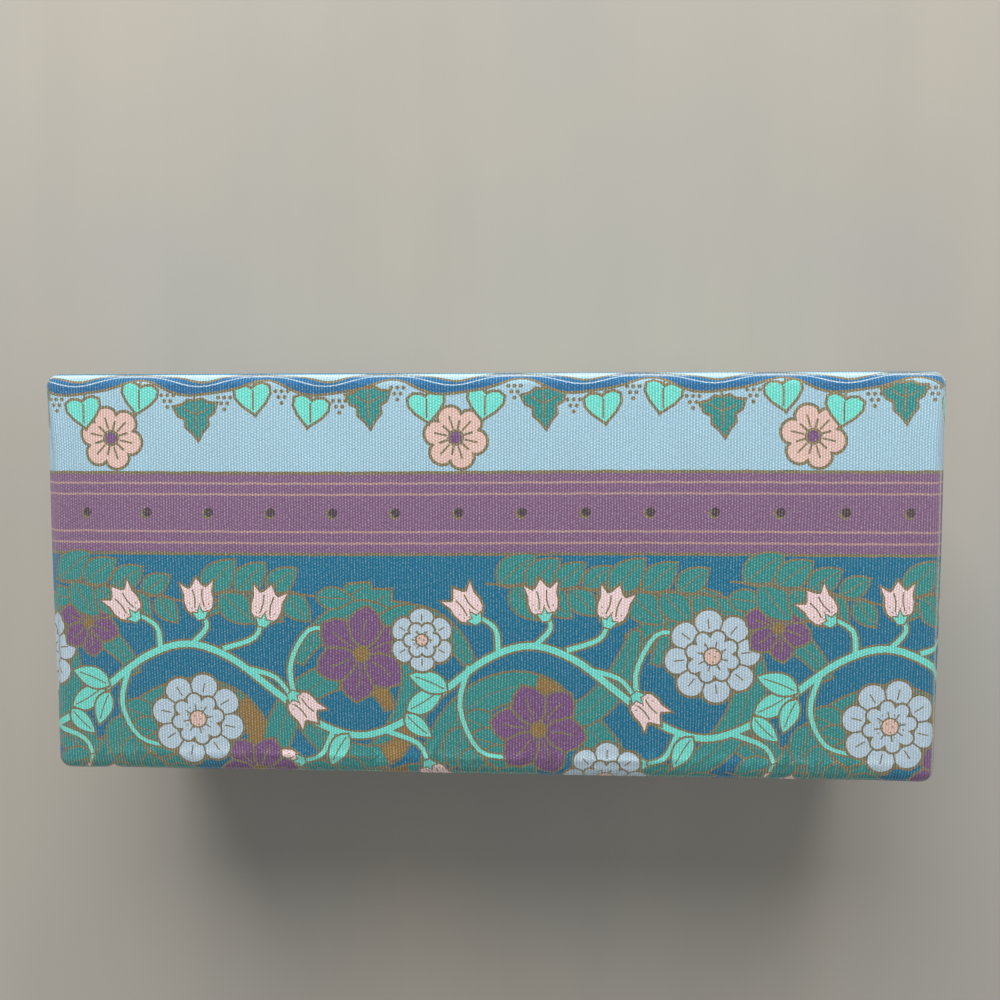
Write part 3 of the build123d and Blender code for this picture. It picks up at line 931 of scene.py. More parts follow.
def drawFlowerBand(start, base):
    # one repeat of the scrolling vine with its blossoms, back layers first
    def drawEach(draw, key):
        for u, v, *shape in vine[key]:
            draw(start + u, base + v, *shape)

    drawEach(drawPlume, "plumes")
    drawEach(drawStrap, "straps")
    drawEach(drawSpray, "sprays")
    wave = []
    for i in range(17):
        u = i * layout["repeat"] / 16
        v = vine["waveMiddle"] + vine["waveSize"] * math.sin(2 * math.pi * u / vine["wavePitch"])
        wave.append((start + u, base + v))
    stems = [stemPoints(wave, 0.5, 0.5, 5)]
    for points in vine["stems"]:
        stems.append(stemPoints([(start + u, base + v) for u, v in points], 0.40, 0.26, 4))
    drawn.extend((grown(stem, 0.34), "gold") for stem in stems)
    drawn.extend((stem, "mint") for stem in stems)
    drawEach(drawBud, "buds")
    drawEach(drawYoungLeaf, "leaves")
    drawEach(drawBlossom, "blossoms")


def drawPrint(outlines):
    # all that the outlines' reach of cloth carries, in painting order
    lowU, highU, lowV, highV = reachOf([p for outline in outlines for p in outline])
    margin = layout["margin"]
    lowU, highU, lowV, highV = lowU - margin, highU + margin, lowV - margin, highV + margin
    top, foot, step = layout["paleTo"], layout["deepFrom"], layout["bandRepeat"]
    repeat, start = layout["repeat"], layout["repeatStart"]
    drawn.clear()
    for k in range(math.floor((lowV - top) / step), math.ceil((highV - foot) / step) + 1):
        base = step * k
        if base + top < lowV or base + foot > highV:
            continue
        drawBands(lowU, highU, base)
        drawDots(lowU, highU, base)
        if base + top > lowV and base + layout["purpleFrom"] < highV:
            drawPaleBlooms(lowU, highU, base)
            drawGarland(lowU, highU, base)
        for i in range(math.floor((lowU + start) / repeat) - 1, math.ceil((highU + start) / repeat) + 1):
            drawFlowerBand(-start + repeat * i, base)
    # the printed cloth isn't quite square on the box
    skew, sway, swayLength = layout["skew"], layout["sway"], layout["swayLength"]
    return [
        ([(u, v + skew * u + sway * math.sin(u / swayLength)) for u, v in points], ink)
        for points, ink in drawn
    ]


# the cloth is cut from the print and laid on the box
box = {
    "halfLength": 69.0,
    "halfDepth": 31.5,
    "top": 50.0,
    "crown": 1.0,
    "lidRim": 35.1,
    "trayRim": 34.9,
    "foot": 0.3,
    "shoulder": 2.0,
    "corner": 1.7,
    "lidWall": 2.7,
    "trayWall": 3.3,
    "lidTurnIn": 5.0,
    "trayTurnIn": 8.0,
    "footTurnIn": 9.0,
    "wrap": 3.0,
    "lapDepth": 0.33,
    "lapRun": 2.0,
    "lapBack": 0.9,
    "clothThickness": 0.33,
    "rimTuck": 0.18,
    "rimTuckHeight": 0.5,
    "droop": 0.35,
    "droopPower": 7,
    "ridgeAt": -28.3,
    "ridgeSize": 0.16,
    "ridgeWidth": 0.55,
    "slump": 0.5,
    "slumpRun": (-0.3, 3.6),
    "slumpEnds": (2.0, 10.0),
    "hollowLeft": 0.8,
    "hollowRight": 0.4,
    "hollowFrom": 46.8,
    "hollowFull": 48.0,
    "hollowBack": (0.5, 13.0),
    "hollowFront": (0.5, 24.0),
    "hingeHalf": 63.0,
    "lidHingeCut": 9.65,
    "trayHingeCut": 4.9,
}
halfLength, halfDepth = box["halfLength"], box["halfDepth"]
shoulderHeight = box["top"] - box["crown"]
lidDrop = box["top"] - box["lidRim"]
trayStart = box["top"] - box["trayRim"]
trayDrop = box["trayRim"] - box["foot"]


def archAt(y):
    return box["crown"] * (1 - min(1.0, abs(y) / halfDepth) ** 2)


def softBox(spot, top, radius):
    # a point on the sharp box moved to the same box with rounded edges
    x, y, z = spot
    ix = max(-halfLength + radius, min(halfLength - radius, x))
    iy = max(-halfDepth + radius, min(halfDepth - radius, y))
    iz = z if top is None else min(z, top - radius)
    away = Vector((x - ix, y - iy, z - iz))
    if away.length < 1e-9:
        return spot.copy()
    return Vector((ix, iy, iz)) + away.normalized() * radius


def wallSpot(side, along, inward, z, wrapDepth):
    # a point on one wall of the sharp box; past a corner the long walls' cloth lies on the short wall
    sign = -1 if side in ("front", "left") else 1
    if side in ("left", "right"):
        return Vector((sign * (halfLength - inward), along, z))
    past = abs(along) - halfLength
    if past > 0:
        depth = wrapDepth * smoothStep(past, 0.0, box["lapRun"])
        return Vector((math.copysign(halfLength - depth, along), sign * (halfDepth - past), z))
    return Vector((along, sign * (halfDepth - inward), z))


def whichSide(u, v):
    if abs(v) > halfDepth and abs(u) <= halfLength + box["wrap"] + 0.01:
        return "back" if v > 0 else "front", u, abs(v) - halfDepth
    return "right" if u > 0 else "left", v, abs(u) - halfLength


def lidPlace(u, v):
    # from the flat cloth to the lid, in millimetres
    wall, low = box["lidWall"], box["lidRim"]
    if abs(u) <= halfLength and abs(v) <= halfDepth:
        fade = 1.0
        soft = softBox(Vector((u, v, shoulderHeight)), shoulderHeight, box["shoulder"])
    else:
        side, along, run = whichSide(u, v)
        if run <= lidDrop:
            inward, z = 0.0, shoulderHeight - run * (shoulderHeight - low) / lidDrop
        elif run <= lidDrop + wall:
            inward, z = run - lidDrop, low
        else:
            inward, z = wall, low + run - lidDrop - wall
        sharp = wallSpot(side, along, 0.0, min(z, shoulderHeight), 0.0)
        outer = softBox(sharp, shoulderHeight, box["shoulder"])
        inner = wallSpot(side, along, inward, z, box["lapDepth"])
        soft = inner + (outer - sharp) * (1 - inward / wall)
        tuckHeight = box["rimTuckHeight"]
        if inward == 0 and z < low + tuckHeight:
            facing = Vector((0, math.copysign(1, soft.y), 0))
            if side in ("left", "right"):
                facing = Vector((math.copysign(1, soft.x), 0, 0))
            soft = soft - facing * box["rimTuck"] * (1 - (z - low) / tuckHeight) ** 2
        fade = max(0.0, (z - low) / (shoulderHeight - low)) if inward == 0 else 0.0
    # the short edges draw in, the corners droop, and the front edge slumps behind a low ridge
    hollow = box["hollowLeft"] if soft.x < 0 else box["hollowRight"]
    risen = smoothStep(soft.z, box["hollowFrom"], box["hollowFull"])
    hollow *= risen * smoothStep(abs(soft.x), halfLength - 9.0, halfLength - 1.0)
    nearBack, nearFront = box["hollowBack"], box["hollowFront"]
    hollow *= smoothStep(halfDepth - soft.y, *nearBack) * smoothStep(halfDepth + soft.y, *nearFront)
    soft = soft - Vector((math.copysign(hollow, soft.x), 0, 0))
    droop = box["droop"] * min(1.0, abs(soft.x) / halfLength) ** box["droopPower"] * fade
    behind = soft.y - box["ridgeAt"]
    front = box["slump"] * smoothStep(-behind, *box["slumpRun"])
    front -= box["ridgeSize"] * math.exp(-((behind / box["ridgeWidth"]) ** 2))
    edge = smoothStep(halfLength - abs(soft.x), *box["slumpEnds"])
    return soft + Vector((0, 0, archAt(soft.y) * fade - droop - front * edge * fade))


def trayPlace(u, v):
    # from the flat cloth to the tray, in millimetres
    side, along, run = whichSide(u, v)
    run -= trayStart
    wall, high, low = box["trayWall"], box["trayRim"], box["foot"]
    if run < -wall:
        inward, z, hold = wall, high + (run + wall), 0.0
    elif run < 0:
        inward, z, hold = -run, high, 1 + run / wall
    elif run <= trayDrop:
        inward, z, hold = 0.0, high - run, 1.0
    else:
        inward, z = run - trayDrop, low
        hold = max(0.0, 1 - inward / box["footTurnIn"])
    sharp = wallSpot(side, along, 0.0, z, 0.0)
    outer = softBox(sharp, None, box["corner"])
    return wallSpot(side, along, inward, z, box["lapDepth"]) + (outer - sharp) * hold


def lidOutlines():
    # outline of the flat cloth in the print's own millimetres, a cross with flaps
    a, b, d, wrap = halfLength, halfDepth, lidDrop, box["wrap"]
    w, t, n = box["lidWall"], box["lidTurnIn"], box["lapBack"]
    hinge, cut = box["hingeHalf"], box["lidHingeCut"]
    front = [(a, -b), (a + wrap, -b - 2.2), (a + wrap, -b - d), (a, -b - d), (a - w, -b - d - w)]
    front += [(a - w, -b - d - w - t)]
    left = [(-b, -a), (-b + n, -a - 2.4), (-b + n, -a - d), (-b + w, -a - d - w)]
    left += [(-b + w, -a - d - w - t)]
    left = [(u, v) for v, u in left + mirrored(left)]
    back = [(-a, b), (-a - wrap, b + 2.2), (-a - wrap, b + d), (-a, b + d), (-a + w, b + d + w)]
    back += [(-a + w, b + d + w + t), (-hinge, b + d + w + t), (-hinge, b + cut)]
    front, back = front + mirrored(front), back + mirrored(back)
    return [front[:-1] + left[:-1] + back[:-1] + mirrored(left)[:-1]]


def trayOutlines():
    # outlines of the four flat strips
    a, b, wrap = halfLength, halfDepth, box["wrap"]
    s, e = trayStart, trayStart + trayDrop
    w, t, f, n = box["trayWall"], box["trayTurnIn"], box["footTurnIn"], box["lapBack"]
    hinge, cut = box["hingeHalf"], trayStart + box["trayHingeCut"]
    outlines = []
    for sign in (-1, 1):
        half = [(a - w, s - w - t), (a - w, s - w), (a, s), (a + wrap, s), (a + wrap, e), (a, e)]
        half += [(a - f, e + f)]
        strip = mirrored(half)[-1:] + half + mirrored(half)[:-1]
        if sign > 0:
            notch = [(-hinge, s - w - t), (-hinge, cut), (hinge, cut), (hinge, s - w - t)]
            strip = strip[:1] + notch + strip[1:]
        outlines.append([(u, sign * (b + run)) for u, run in strip])
        half = [(b - w, s - w - t), (b - w, s - w), (b - n, s), (b - n, e), (b - f, e + f)]
        strip = mirrored(half)[-1:] + half + mirrored(half)[:-1]
        outlines.append([(sign * (a + run), v) for v, run in strip])
    return outlines


clothCut = {
    "lidGrid": 2.4,
    "lidUnder": 7.7,
    "trayGrid": 2.8,
    "trayFlat": (0.405, 0.0556),
    "stray": 0.2,
    "merge": 0.004,
    "bendShares": (1.0, 0.72, 0.48, 0.27, 0.08, 0.0),
    "lidRimFolds": (-0.5, -0.25, -0.1, 0.0, 0.1, 0.3),
    "trayRimFolds": (-0.3, -0.1, 0.0, 0.1, 0.4),
    "trayFootFolds": (-0.4, -0.1, 0.0, 0.1, 0.3),
    "turnFold": 0.3,
}


def foldLines(kind):
    # lines of the flat cloth along which it bends, as long thin runs of edges
    a, b, r = halfLength, halfDepth, box["shoulder"]
    corner, wrap = box["corner"], box["wrap"]
    shares, turn = clothCut["bendShares"], clothCut["turnFold"]
    lines = []

    def foldRound(sign, run, past):
        lines.append([(-a - past, sign * (b + run)), (a + past, sign * (b + run))])
        lines.append([(sign * (a + run), -b), (sign * (a + run), b)])

    if kind == "lid":
        low, high, w = 0.0, lidDrop, box["lidWall"]
        squeeze = lidDrop / (shoulderHeight - box["lidRim"])
        for share in shares:
            for sign in (-1, 1):
                foldRound(sign, -share * r, 0)
                foldRound(sign, share * r * squeeze, wrap)
        runs = [high + k for k in clothCut["lidRimFolds"]] + [high + w - turn, high + w]
    else:
        low, high, w = trayStart, trayStart + trayDrop, box["trayWall"]
        runs = [low - w, low - w + turn] + [low + k for k in clothCut["trayRimFolds"]]
        runs += [high + k for k in clothCut["trayFootFolds"]]
    for run in runs:
        for sign in (-1, 1):
            foldRound(sign, run, wrap)
    for share in shares:
        for sign in (-1, 1):
            for end in (-1, 1):
                u = end * (a - share * corner)
                lines.append([(u, sign * (b + low)), (u, sign * (b + high))])
                u = end * (a + share * corner)
                lines.append([(u, sign * (b + low + 1)), (u, sign * (b + high))])
                v = end * (b - share * corner)
                lines.append([(sign * (a + low), v), (sign * (a + high), v)])
    return lines


def brokenLine(start, end, step=1.6):
    count = max(1, int(math.dist(start, end) / step))
    run = (end[0] - start[0], end[1] - start[1])
    return [(start[0] + run[0] * i / count, start[1] + run[1] * i / count) for i in range(count + 1)]


def cutTriangles(outlines, printed, lines, gridStep):
    # cuts the outlines into triangles along the printed shapes and the folds, each with its ink
    lowU, highU, lowV, highV = reachOf([p for outline in outlines for p in outline])
    boxes = [reachOf(outline) for outline in outlines]
    spots, edges, faces, colours = [], [], [], []

    def addFace(points):
        first = len(spots)
        spots.extend(Vector(p) for p in (points if signedArea(points) > 0 else points[::-1]))
        faces.append(list(range(first, len(spots))))

    for outline in outlines:
        addFace(outline)
    for points, ink in printed:
        au, bu, av, bv = reachOf(points)
        if any(au < r[1] and bu > r[0] and av < r[3] and bv > r[2] for r in boxes):
            addFace(points)
            colours.append(ink)
    for start, end in lines:
        first = len(spots)
        spots.extend(Vector(p) for p in brokenLine(start, end))
        edges.extend((i, i + 1) for i in range(first, len(spots) - 1))
    stray = clothCut["stray"]
    v = lowV
    while v < highV:
        u = lowU
        while u < highU:
            if any(r[0] < u < r[1] and r[2] < v < r[3] for r in boxes):
                spots.append(Vector((u + stray * math.sin(v * 3.1), v + stray * math.sin(u * 2.3))))
            u += gridStep
        v += gridStep
    merge = clothCut["merge"]
    places, _, triangles, _, _, sources = geometry.delaunay_2d_cdt(spots, edges, faces, 0, merge, True)
    number = len(outlines)
    kept, keptInk = [], []
    for triangle, under in zip(triangles, sources):
        if any(s < number for s in under):
            kept.append(triangle)
            keptInk.append(colours[max(under) - number] if max(under) >= number else "deep")
    used = sorted({i for t in kept for i in t})
    renumber = {old: new for new, old in enumerate(used)}
    return [(places[i].x, places[i].y) for i in used], [[renumber[i] for i in t] for t in kept], keptInk


def rimEdges(triangles):
    seen = {(t[i], t[(i + 1) % 3]) for t in triangles for i in range(3)}
    return [(a, b) for a, b in seen if (b, a) not in seen]


def rimLoops(rim):
    # the rim's edges chained into closed loops
    after = dict(rim)
    loops = []
    while after:
        start, here = after.popitem()
        loop = [start]
        while here != start:
            loop.append(here)
            here = after.pop(here)
        loops.append(loop)
    return loops


def slope(place, u, v, here, axis, step=0.04):
    # direction of the cloth along one of its two ways; a neighbour that lies on another flap is left out
    total = Vector((0, 0, 0))
    spare = None
    for sign in (1, -1):
        there = place(u + sign * step, v) if axis == 0 else place(u, v + sign * step)
        run = (there - here) * sign
        if 1e-9 < run.length < 4 * step:
            total += run.normalized()
        if spare is None or run.length < spare.length:
            spare = run
    return total if total.length > 0.1 else spare


def layDown(place, flat, depth):
    # the flat points laid in space, a little below the surface when depth is given
    spots, normals = [], []
    for u, v in flat:
        here = place(u, v)
        normal = slope(place, u, v, here, 0).cross(slope(place, u, v, here, 1))
        normal = normal.normalized() if normal.length > 1e-9 else Vector((0, 0, 1))
        spots.append((here - normal * depth) * mm)
        normals.append(normal)
    return spots, normals


def clothMesh(name, outlines, place, lines, gridStep):
    # printed outside, plain inside, both cut to the same rim
    flat, outside, outsideInk = cutTriangles(outlines, drawPrint(outlines), lines, gridStep)
    rim = rimEdges(outside)
    loops = rimLoops(rim)
    flatIn, inside, _ = cutTriangles([[flat[i] for i in loop] for loop in loops], [], lines, gridStep)
    nearest = kdtree.KDTree(len(flatIn))
    for i, spot in enumerate(flatIn):
        nearest.insert((*spot, 0), i)
    nearest.balance()
    twin = {i: nearest.find((*flat[i], 0))[1] for loop in loops for i in loop}
    for i, j in twin.items():
        flatIn[j] = flat[i]
    spotsOut, normalsOut = layDown(place, flat, 0.0)
    spotsIn, normalsIn = layDown(place, flatIn, box["clothThickness"])
    twin = {i: j + len(flat) for i, j in twin.items()}
    inside = [[i + len(flat) for i in reversed(t)] for t in inside]
    edge = [[b, a, twin[a]] + ([twin[b]] if twin[a] != twin[b] else []) for a, b in rim]
    mesh = bpy.data.meshes.new(name)
    mesh.from_pydata(spotsOut + spotsIn, [], outside + inside + edge)
    mesh.uv_layers.new(name="fabric")
    mesh.color_attributes.new("print", "FLOAT_COLOR", "CORNER")
    inkLinear = {ink: (*linearColour(*inks[ink]), 1.0 if ink == "gold" else 0.0) for ink in inks}
    allFlat = flat + flatIn
    uvs, values = [], []
    for face, ink in zip(outside + inside + edge, outsideInk + ["deep"] * (len(inside) + len(edge))):
        for vertex in face:
            uvs.extend((allFlat[vertex][0] * 0.01, allFlat[vertex][1] * 0.01))
            values.extend(inkLinear[ink])
    mesh.uv_layers["fabric"].data.foreach_set("uv", uvs)
    mesh.color_attributes["print"].data.foreach_set("color", values)
    mesh.polygons.foreach_set("use_smooth", [True] * len(mesh.polygons))
    mesh.update()
    allNormals = normalsOut + [-normal for normal in normalsIn]
    loopNormals = []
    for polygon in mesh.polygons:
        if polygon.index >= len(outside) + len(inside):
            loopNormals.extend([polygon.normal.copy()] * polygon.loop_total)  # cut edge
        else:
            loopNormals.extend(allNormals[i] for i in polygon.vertices)
    mesh.normals_split_custom_set(loopNormals)
    piece = bpy.data.objects.new(name, mesh)
    bpy.context.scene.collection.objects.link(piece)
    print("cloth", name, len(outside), len(inside), len(edge))
    return piece


def polygonArea(outlines):
    return sum(abs(signedArea(o)) for o in outlines) * mm * mm


def makeLidCloth():
    outlines = lidOutlines()
    piece = clothMesh("lidCloth", outlines, lidPlace, foldLines("lid"), clothCut["lidGrid"])
    standIn(piece, "cotton", "lid_cover", "lid")
    polygonArea(outlines)


def makeTrayCloth():
    outlines = trayOutlines()
    piece = clothMesh("trayCloth", outlines, trayPlace, foldLines("tray"), clothCut["trayGrid"])
    standIn(piece, "cotton", "base_cover", "base")
    flat, area = clothCut["trayFlat"], polygonArea(outlines)


makeLidCloth()
say("lid cloth")
makeTrayCloth()
say("tray cloth")

hingeMeasure = {
    "halfLength": 62.9,
    "clothFrom": 41.15,
    "clothTo": 51.5,
    "high": 40.0,
    "low": 30.0,
    "proud": 0.14,
    "folds": (0.015, 0.03, 0.2, 0.3, 0.36, 0.42, 0.47, 0.52, 0.58, 0.64, 0.7, 0.8, 0.97, 0.985),
    "grid": 2.0,
    "clothFlat": (0.126, 0.0104),
    "bendFrom": (0, 0.0315, 0.0332),
    "bendTo": (0, 0.0315, 0.0368),
    "satinFoot": [(28.1, 34.86), (27.7, 34.88)],
    "satinBulge": ((27.6, 36.7), 1.8, -95, -255, 12),  # middle, radius, degrees from and to, steps
    "satinTop": [(27.7, 38.7), (28.1, 39.4), (28.36, 40.4), (28.42, 41.6), (28.43, 42.8), (28.44, 44.3)],
    "satinHalf": 62.4,
    "satinWrinkle": 0.34,
    "satinRipple": 0.2,
    "satinPitch": 95.0,
    "satinSqueeze": 3.4,
    "satinLift": 0.6,
    "satinEnds": 5.0,
    "slackFrom": (34.9, 36.0),
    "slackTo": (40.0, 42.0),
    "satinThickness": 0.22,
    "satinRun": 0.0142,
    "satinBendFrom": (0, 0.0285, 0.0350),
    "satinBendTo": (0, 0.0285, 0.0412),
}


def hingePlace(u, v):
    look = hingeMeasure
    share = (v - look["clothFrom"]) / (look["clothTo"] - look["clothFrom"])
    z = look["high"] + (look["low"] - look["high"]) * share
    edge = min(look["halfLength"] - abs(u), look["high"] - z, z - look["low"])
    return Vector((u, halfDepth + look["proud"] * smoothStep(edge, -0.05, 0.35), z))


def makeHingeCloth():
    h, a, b = hingeMeasure["halfLength"], hingeMeasure["clothFrom"], hingeMeasure["clothTo"]
    outline = [(-h, a), (h, a), (h, b), (-h, b)]
    lines = [[(-h, a + (b - a) * share), (h, a + (b - a) * share)] for share in hingeMeasure["folds"]]
    piece = clothMesh("hingeCloth", [outline], hingePlace, lines, hingeMeasure["grid"])
    standIn(piece, "cotton", "hinge_cloth")
    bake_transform(piece)


def pullStrip(name, path, side):
    # an edge pulled out step by step along a path; side is its half width
    bpy.ops.mesh.primitive_plane_add(size=1.0)
    piece = bpy.context.object
    piece.name = name

    def change(mesh):
        mesh.verts.ensure_lookup_table()
        bmesh.ops.delete(mesh, geom=[mesh.verts[2], mesh.verts[3]], context="VERTS")
        mesh.verts.ensure_lookup_table()
        mesh.verts[0].co = Vector(path[0]) - Vector(side)
        mesh.verts[1].co = Vector(path[0]) + Vector(side)
        bmesh.update_edit_mesh(piece.data)
        bpy.ops.mesh.select_all(action="SELECT")
        for here, after in zip(path[:-1], path[1:]):
            bpy.ops.mesh.extrude_edges_move(TRANSFORM_OT_translate={"value": Vector(after) - Vector(here)})

    editMesh(piece, change)
    return piece


def stripMap(piece, path, side):
    # the strip's own map: across, and along the path, in units of 100 mm
    lengths = [0.0]
    for here, after in zip(path[:-1], path[1:]):
        lengths.append(lengths[-1] + math.dist(here, after))
    axis = Vector(side).normalized()
    middle = [Vector(spot) - axis * Vector(spot).dot(axis) for spot in path]
    layer = piece.data.uv_layers.get("fabric") or piece.data.uv_layers.new(name="fabric")
    for loop in piece.data.loops:
        spot = piece.data.vertices[loop.vertex_index].co
        flat = spot - axis * spot.dot(axis)
        best = min(range(len(path)), key=lambda k: (middle[k] - flat).length)
        layer.data[loop.index].uv = (spot.dot(axis) * 10, lengths[best] * 10)


def edgesAlong(mesh, axis):
    return [e for e in mesh.edges if abs(e.verts[0].co[axis] - e.verts[1].co[axis]) > 0.9 * e.calc_length()]


def cutAcross(mesh, edges, cuts):
    bmesh.ops.subdivide_edges(mesh, edges=edges, cuts=cuts, use_grid_fill=True)


def thicken(piece, thickness, offset=0):
    solid = piece.modifiers.new("thickness", "SOLIDIFY")
    solid.thickness = thickness * mm
    solid.offset = offset


def satinWrinkle(spot, size, pitch, seed):
    broad = Vector((spot.x * pitch + seed, spot.y * pitch, spot.z * pitch))
    fine = Vector((spot.x * pitch * 2.3, spot.y * pitch * 2.3 + seed, spot.z * pitch * 2.3))
    return size * (noise.noise(broad) + 0.5 * noise.noise(fine))


def makeHingeSatin():
    look = hingeMeasure
    ring = look["satinFoot"] + arcPath(*look["satinBulge"])[1:] + look["satinTop"]
    half = look["satinHalf"]
    piece = pullStrip("hingeSatin", [(0, y * mm, z * mm) for y, z in ring], (half * mm, 0, 0))
    editMesh(piece, lambda mesh: cutAcross(mesh, edgesAlong(mesh, 0), 64))
    for vertex in piece.data.vertices:
        x, y, z = vertex.co
        edge = smoothStep(half - abs(x) / mm, 0.0, look["satinEnds"])
        slack = smoothStep(z / mm, *look["slackFrom"]) * (1 - smoothStep(z / mm, *look["slackTo"]))
        ripple = satinWrinkle(vertex.co, look["satinWrinkle"] * mm, look["satinPitch"], 4.0)
        squeezed = Vector((x * look["satinSqueeze"], y, z))
        ripple += satinWrinkle(squeezed, look["satinRipple"] * mm, look["satinPitch"], 9.0)
        vertex.co.y += ripple * slack * edge
        vertex.co.z += look["satinLift"] * ripple * slack
    thicken(piece, look["satinThickness"])
    applyModifiers(piece)
    bpy.ops.object.shade_smooth()
    standIn(piece, "satin", "hinge_lining")
    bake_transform(piece)


makeHingeCloth()
makeHingeSatin()
say("hinge")


def blockBetween(name, low, high):
    bpy.ops.mesh.primitive_cube_add(size=1.0, location=[(a + b) / 2 for a, b in zip(low, high)])
    piece = bpy.context.object
    piece.name = name
    piece.scale = [b - a for a, b in zip(low, high)]
    settle(piece)
    return piece


def splitLong(piece, step):
    # cuts every edge longer than the step, axis by axis
    def change(mesh):
        for axis in range(3):
            edges = [e for e in edgesAlong(mesh, axis) if e.calc_length() > 1.5 * step]
            if edges:
                cutAcross(mesh, edges, max(1, int(max(e.calc_length() for e in edges) / step)))

    editMesh(piece, change)


def bevelTop(piece, axis, width, segments=4):
    # rounds the long edges at the top
    def change(mesh):
        bpy.ops.mesh.select_mode(type="EDGE")
        top = max(v.co.z for v in mesh.verts)
        long = edgesAlong(mesh, axis)
        for edge in mesh.edges:
            edge.select = edge in long and all(v.co.z > top - 1e-6 for v in edge.verts)
        bmesh.update_edit_mesh(piece.data)
        bpy.ops.mesh.bevel(offset=width, segments=segments, affect="EDGES")

    editMesh(piece, change)


def boxOf(node):
    low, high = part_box(node)
    return Vector(low), Vector(high)


liningLook = {
    "topRadius": 0.62,
    "step": 1.5,
    "puff": 0.36,
    "puffRun": 5.0,
    "wrinkle": 0.26,
    "pitch": 150.0,
    "pulledBelow": 12,
    "pulledShare": 0.45,
}


def makeCardLining(node):
    look = liningLook
    low, high = boxOf(node)
    axis = 0 if high.x - low.x > high.y - low.y else 1
    across = 1 - axis
    piece = blockBetween(node.replace("lining_", "satinWall_"), low, high)
    bevelTop(piece, axis, look["topRadius"] * mm)
    splitLong(piece, look["step"] * mm)
    inward = -1 if (low[across] + high[across]) > 0 else 1
    innerFace = low[across] if inward < 0 else high[across]
    seed = 3.0 * low.x / mm + 7.0 * low.y / mm
    for vertex in piece.data.vertices:
        if abs(vertex.co[across] - innerFace) > 0.9 * mm:
            continue
        spread = min((vertex.co[axis] - low[axis]), (high[axis] - vertex.co[axis])) / mm
        rise = min(vertex.co.z - low.z, high.z - vertex.co.z) / mm
        rounding = smoothStep(spread, 0.0, look["puffRun"]) * smoothStep(rise, 0.0, look["puffRun"])
        puff = look["puff"] * mm * rounding
        pulled = vertex.co
        if rise < look["pulledBelow"]:
            pulled = Vector((vertex.co.x, vertex.co.y, vertex.co.z * look["pulledShare"]))
        ripple = max(-0.1 * mm, satinWrinkle(pulled, look["wrinkle"] * mm, look["pitch"], seed))
        vertex.co[across] += inward * (puff + ripple * smoothStep(spread, 0.0, 2.0))
    makeActive(piece)
    bpy.ops.object.shade_smooth_by_angle(angle=math.radians(50))
    standIn(piece, "satin", node, "base")


for node in ("lining_front", "lining_back", "lining_left", "lining_right"):
    makeCardLining(node)
say("satin walls")

lidSatinLook = {
    "step": 2.2,
    "lift": 0.03,
    "wrinkle": 0.14,
    "pitch": 140.0,
    "thickness": 0.18,
    "flat": (0.3796, 0.0102),
}


def makeLidSideSatin():
    # strip round the inside of the lid's rails
    look = lidSatinLook
    low, high = boxOf("lid_side_lining")
    piece = blockBetween("lidSideSatin", low, high)

    def openUp(mesh):
        flatFaces = [face for face in mesh.faces if abs(face.normal.z) > 0.9]
        bmesh.ops.delete(mesh, geom=flatFaces, context="FACES_ONLY")

    editMesh(piece, openUp)
    splitLong(piece, look["step"] * mm)
    for vertex in piece.data.vertices:
        onEdge = [abs(abs(vertex.co[axis]) - high[axis]) < 0.01 * mm for axis in (0, 1)]
        if onEdge[0] != onEdge[1]:
            axis = 0 if onEdge[0] else 1
            ripple = max(0.0, satinWrinkle(vertex.co, look["wrinkle"] * mm, look["pitch"], 5.0))
            vertex.co[axis] -= math.copysign(look["lift"] * mm + ripple, vertex.co[axis])
    thicken(piece, look["thickness"], -1)
    applyModifiers(piece)
    bpy.ops.object.shade_smooth_by_angle(angle=math.radians(45))
    standIn(piece, "satin", "lid_side_lining", "lid")


makeLidSideSatin()
say("lid side satin")

padLook = {
    "voxel": 1.35,
    "shrink": 0.7,
    "uneven": 0.22,
    "unevenPitch": 60,
    "puckerPitch": 0.42,
    "puckerSize": 1.15,
    "puckerReach": 3.2,
    "slack": 0.55,
    "slackPitch": (0.055, 0.09),
    "frames": 18,
    "cloth": {
        "quality": 5,
        "mass": 0.15,
        "tension_stiffness": 12,
        "compression_stiffness": 12,
        "shear_stiffness": 4,
        "bending_stiffness": 0.4,
        "use_pressure": True,
        "uniform_pressure_force": 4.0,
    },
}


def pucker(spot, low, high):
    # small folds square to the nearest edge, dying out towards the middle
    fromX = min(spot.x - low.x, high.x - spot.x) / mm
    fromY = min(spot.y - low.y, high.y - spot.y) / mm
    along, away = (spot.y, fromX) if fromX < fromY else (spot.x, fromY)
    fold = noise.noise(Vector((along / mm * padLook["puckerPitch"], 0.12 * away, 3.0)))
    pitchX, pitchY = padLook["slackPitch"]
    slack = noise.noise(Vector((spot.x / mm * pitchX, spot.y / mm * pitchY, 8.0)))
    near = padLook["puckerSize"] * (fold - 0.15) * math.exp(-away / padLook["puckerReach"])
    near *= smoothStep(away, 0.2, 1.4)
    return near + padLook["slack"] * slack * smoothStep(away, 1.0, 6.0)


